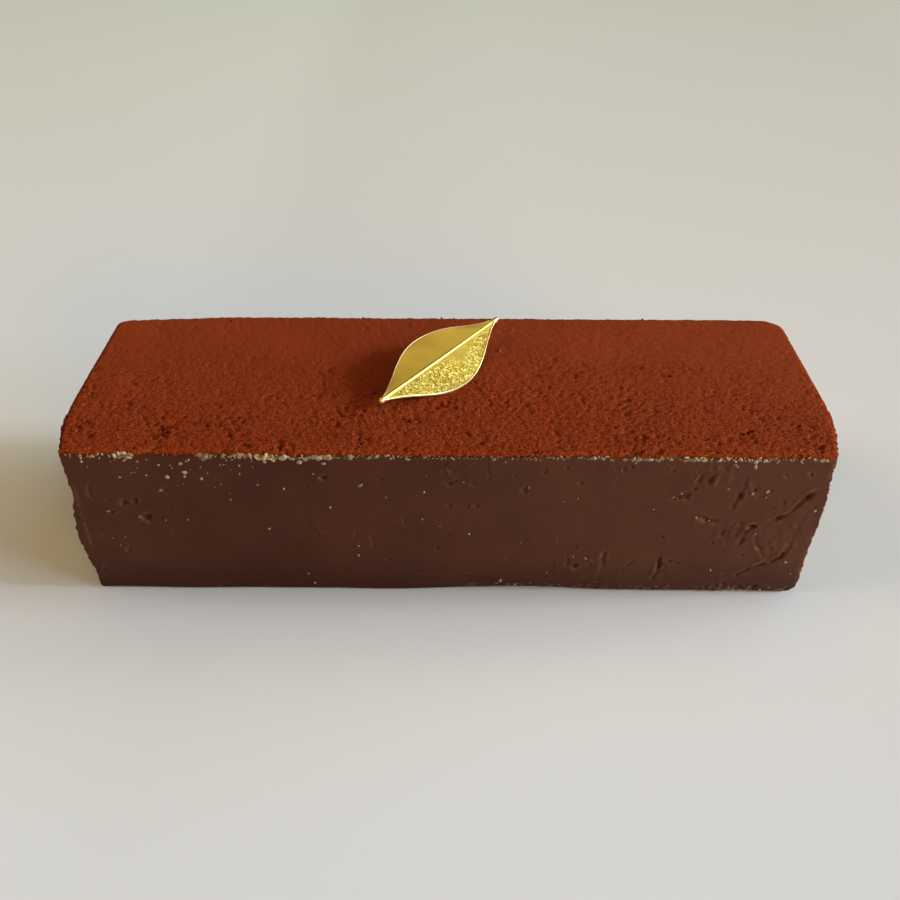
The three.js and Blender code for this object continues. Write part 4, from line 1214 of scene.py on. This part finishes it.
def make_camera():
    forward = Vector((math.sin(CAMERA_YAW) * math.cos(CAMERA_PITCH),
                      math.cos(CAMERA_YAW) * math.cos(CAMERA_PITCH), -math.sin(CAMERA_PITCH)))
    side = Vector((math.cos(CAMERA_YAW), -math.sin(CAMERA_YAW), 0))
    up = side.cross(forward)
    right = math.cos(CAMERA_ROLL) * side + math.sin(CAMERA_ROLL) * up
    upright = math.cos(CAMERA_ROLL) * up - math.sin(CAMERA_ROLL) * side
    camera = bpy.data.cameras.new("camera")
    camera.lens = CAMERA_LENS
    camera.sensor_width = CAMERA_SENSOR
    camera.clip_start = 0.01
    turn = Matrix((right, upright, -forward)).transposed().to_4x4()
    holder = link_object("camera", camera)
    holder.matrix_world = Matrix.Translation(Vector(CAMERA_PLACE) * MM) @ turn
    bpy.context.scene.camera = holder


def direction_of(light):
    """The direction towards a light: azimuth 0 is along +X and 90 along +Y."""
    azimuth, elevation = math.radians(light["azimuth"]), math.radians(light["elevation"])
    return Vector((math.cos(elevation) * math.cos(azimuth), math.cos(elevation) * math.sin(azimuth),
                   math.sin(elevation)))


def make_key():
    """The window on the right: a round soft light that faces the bar."""
    light = bpy.data.lights.new("window", "AREA")
    light.shape = "DISK"
    light.size = KEY["size"]
    light.energy = KEY["watts"]
    light.color = KEY["colour"]
    direction = direction_of(KEY)
    turn = direction.to_track_quat("Z", "Y").to_matrix().to_4x4()
    holder = link_object("window", light)
    holder.matrix_world = Matrix.Translation(direction * KEY["distance"]) @ turn


def make_world():
    """The rest of the room's light, in soft patches, behind the backdrop that the camera sees."""
    world = bpy.data.worlds.new("room")
    bpy.context.scene.world = world
    world.use_nodes = True
    tree = world.node_tree
    direction = add_node(tree, "ShaderNodeTexCoord").outputs["Generated"]
    colour = ROOM_AMBIENT
    for light in ROOM_LIGHTS:
        facing = add_node(tree, "ShaderNodeVectorMath", {0: direction, 1: direction_of(light)},
                          operation="DOT_PRODUCT")
        angle = add_node(tree, "ShaderNodeMath", {0: facing.outputs["Value"]}, operation="ARCCOSINE")
        glow = add_node(tree, "ShaderNodeMapRange",
                        {"Value": angle.outputs["Value"], "From Min": math.radians(light["reach"]),
                         "From Max": 0.0}, interpolation_type="SMOOTHSTEP")
        patch = add_node(tree, "ShaderNodeVectorMath",
                         {0: light["colour"], "Scale": glow.outputs["Result"]}, operation="SCALE")
        colour = add_node(tree, "ShaderNodeVectorMath", {0: patch.outputs["Vector"], 1: colour},
                          operation="ADD").outputs["Vector"]
    room = tree.nodes["Background"]
    set_inputs(tree, room, {"Color": colour, "Strength": 1.0})
    backdrop = add_node(tree, "ShaderNodeBackground", {"Color": BACKDROP, "Strength": 1.0})
    seen = add_node(tree, "ShaderNodeLightPath").outputs["Is Camera Ray"]
    either = add_node(tree, "ShaderNodeMixShader",
                      {0: seen, 1: room.outputs["Background"], 2: backdrop.outputs["Background"]})
    set_inputs(tree, tree.nodes["World Output"], {"Surface": either.outputs["Shader"]})


def make_all():
    make_camera()
    make_bar(chocolate_material())
    make_cocoa(cocoa_material())
    # Pale crumbs, which are partly a painted highlight along the front's top edge and its right upright
    # corner.
    pale = crumb_material("pale_crumbs_and_highlight", (0.125, 0.084, 0.042), (0.56, 0.47, 0.27))
    lump_piece("edge_flakes_and_highlight", flake_lumps() + corner_highlight_lumps(pale=True), pale, "chocolate",
               subdivisions=2, knobbly=0.3, seed=5)
    clod = crumb_material("cocoa_clods", (0.050, 0.008, 0.0025), (0.42, 0.13, 0.06), shine=0.0)
    lump_piece("cocoa_clods", clod_lumps() + dust_lumps() + corner_highlight_lumps(pale=False), clod, "cocoa", seed=7)
    bloom = crumb_material("bloom_specks", (0.078, 0.044, 0.038), (0.36, 0.275, 0.255))
    lump_piece("front_specks", speck_lumps() + crust_lumps(), bloom, "chocolate", seed=6)
    make_leaf(gilt_material())
    make_floor()
    make_key()
    make_world()
    bpy.context.scene.view_settings.view_transform = "Standard"


make_all()
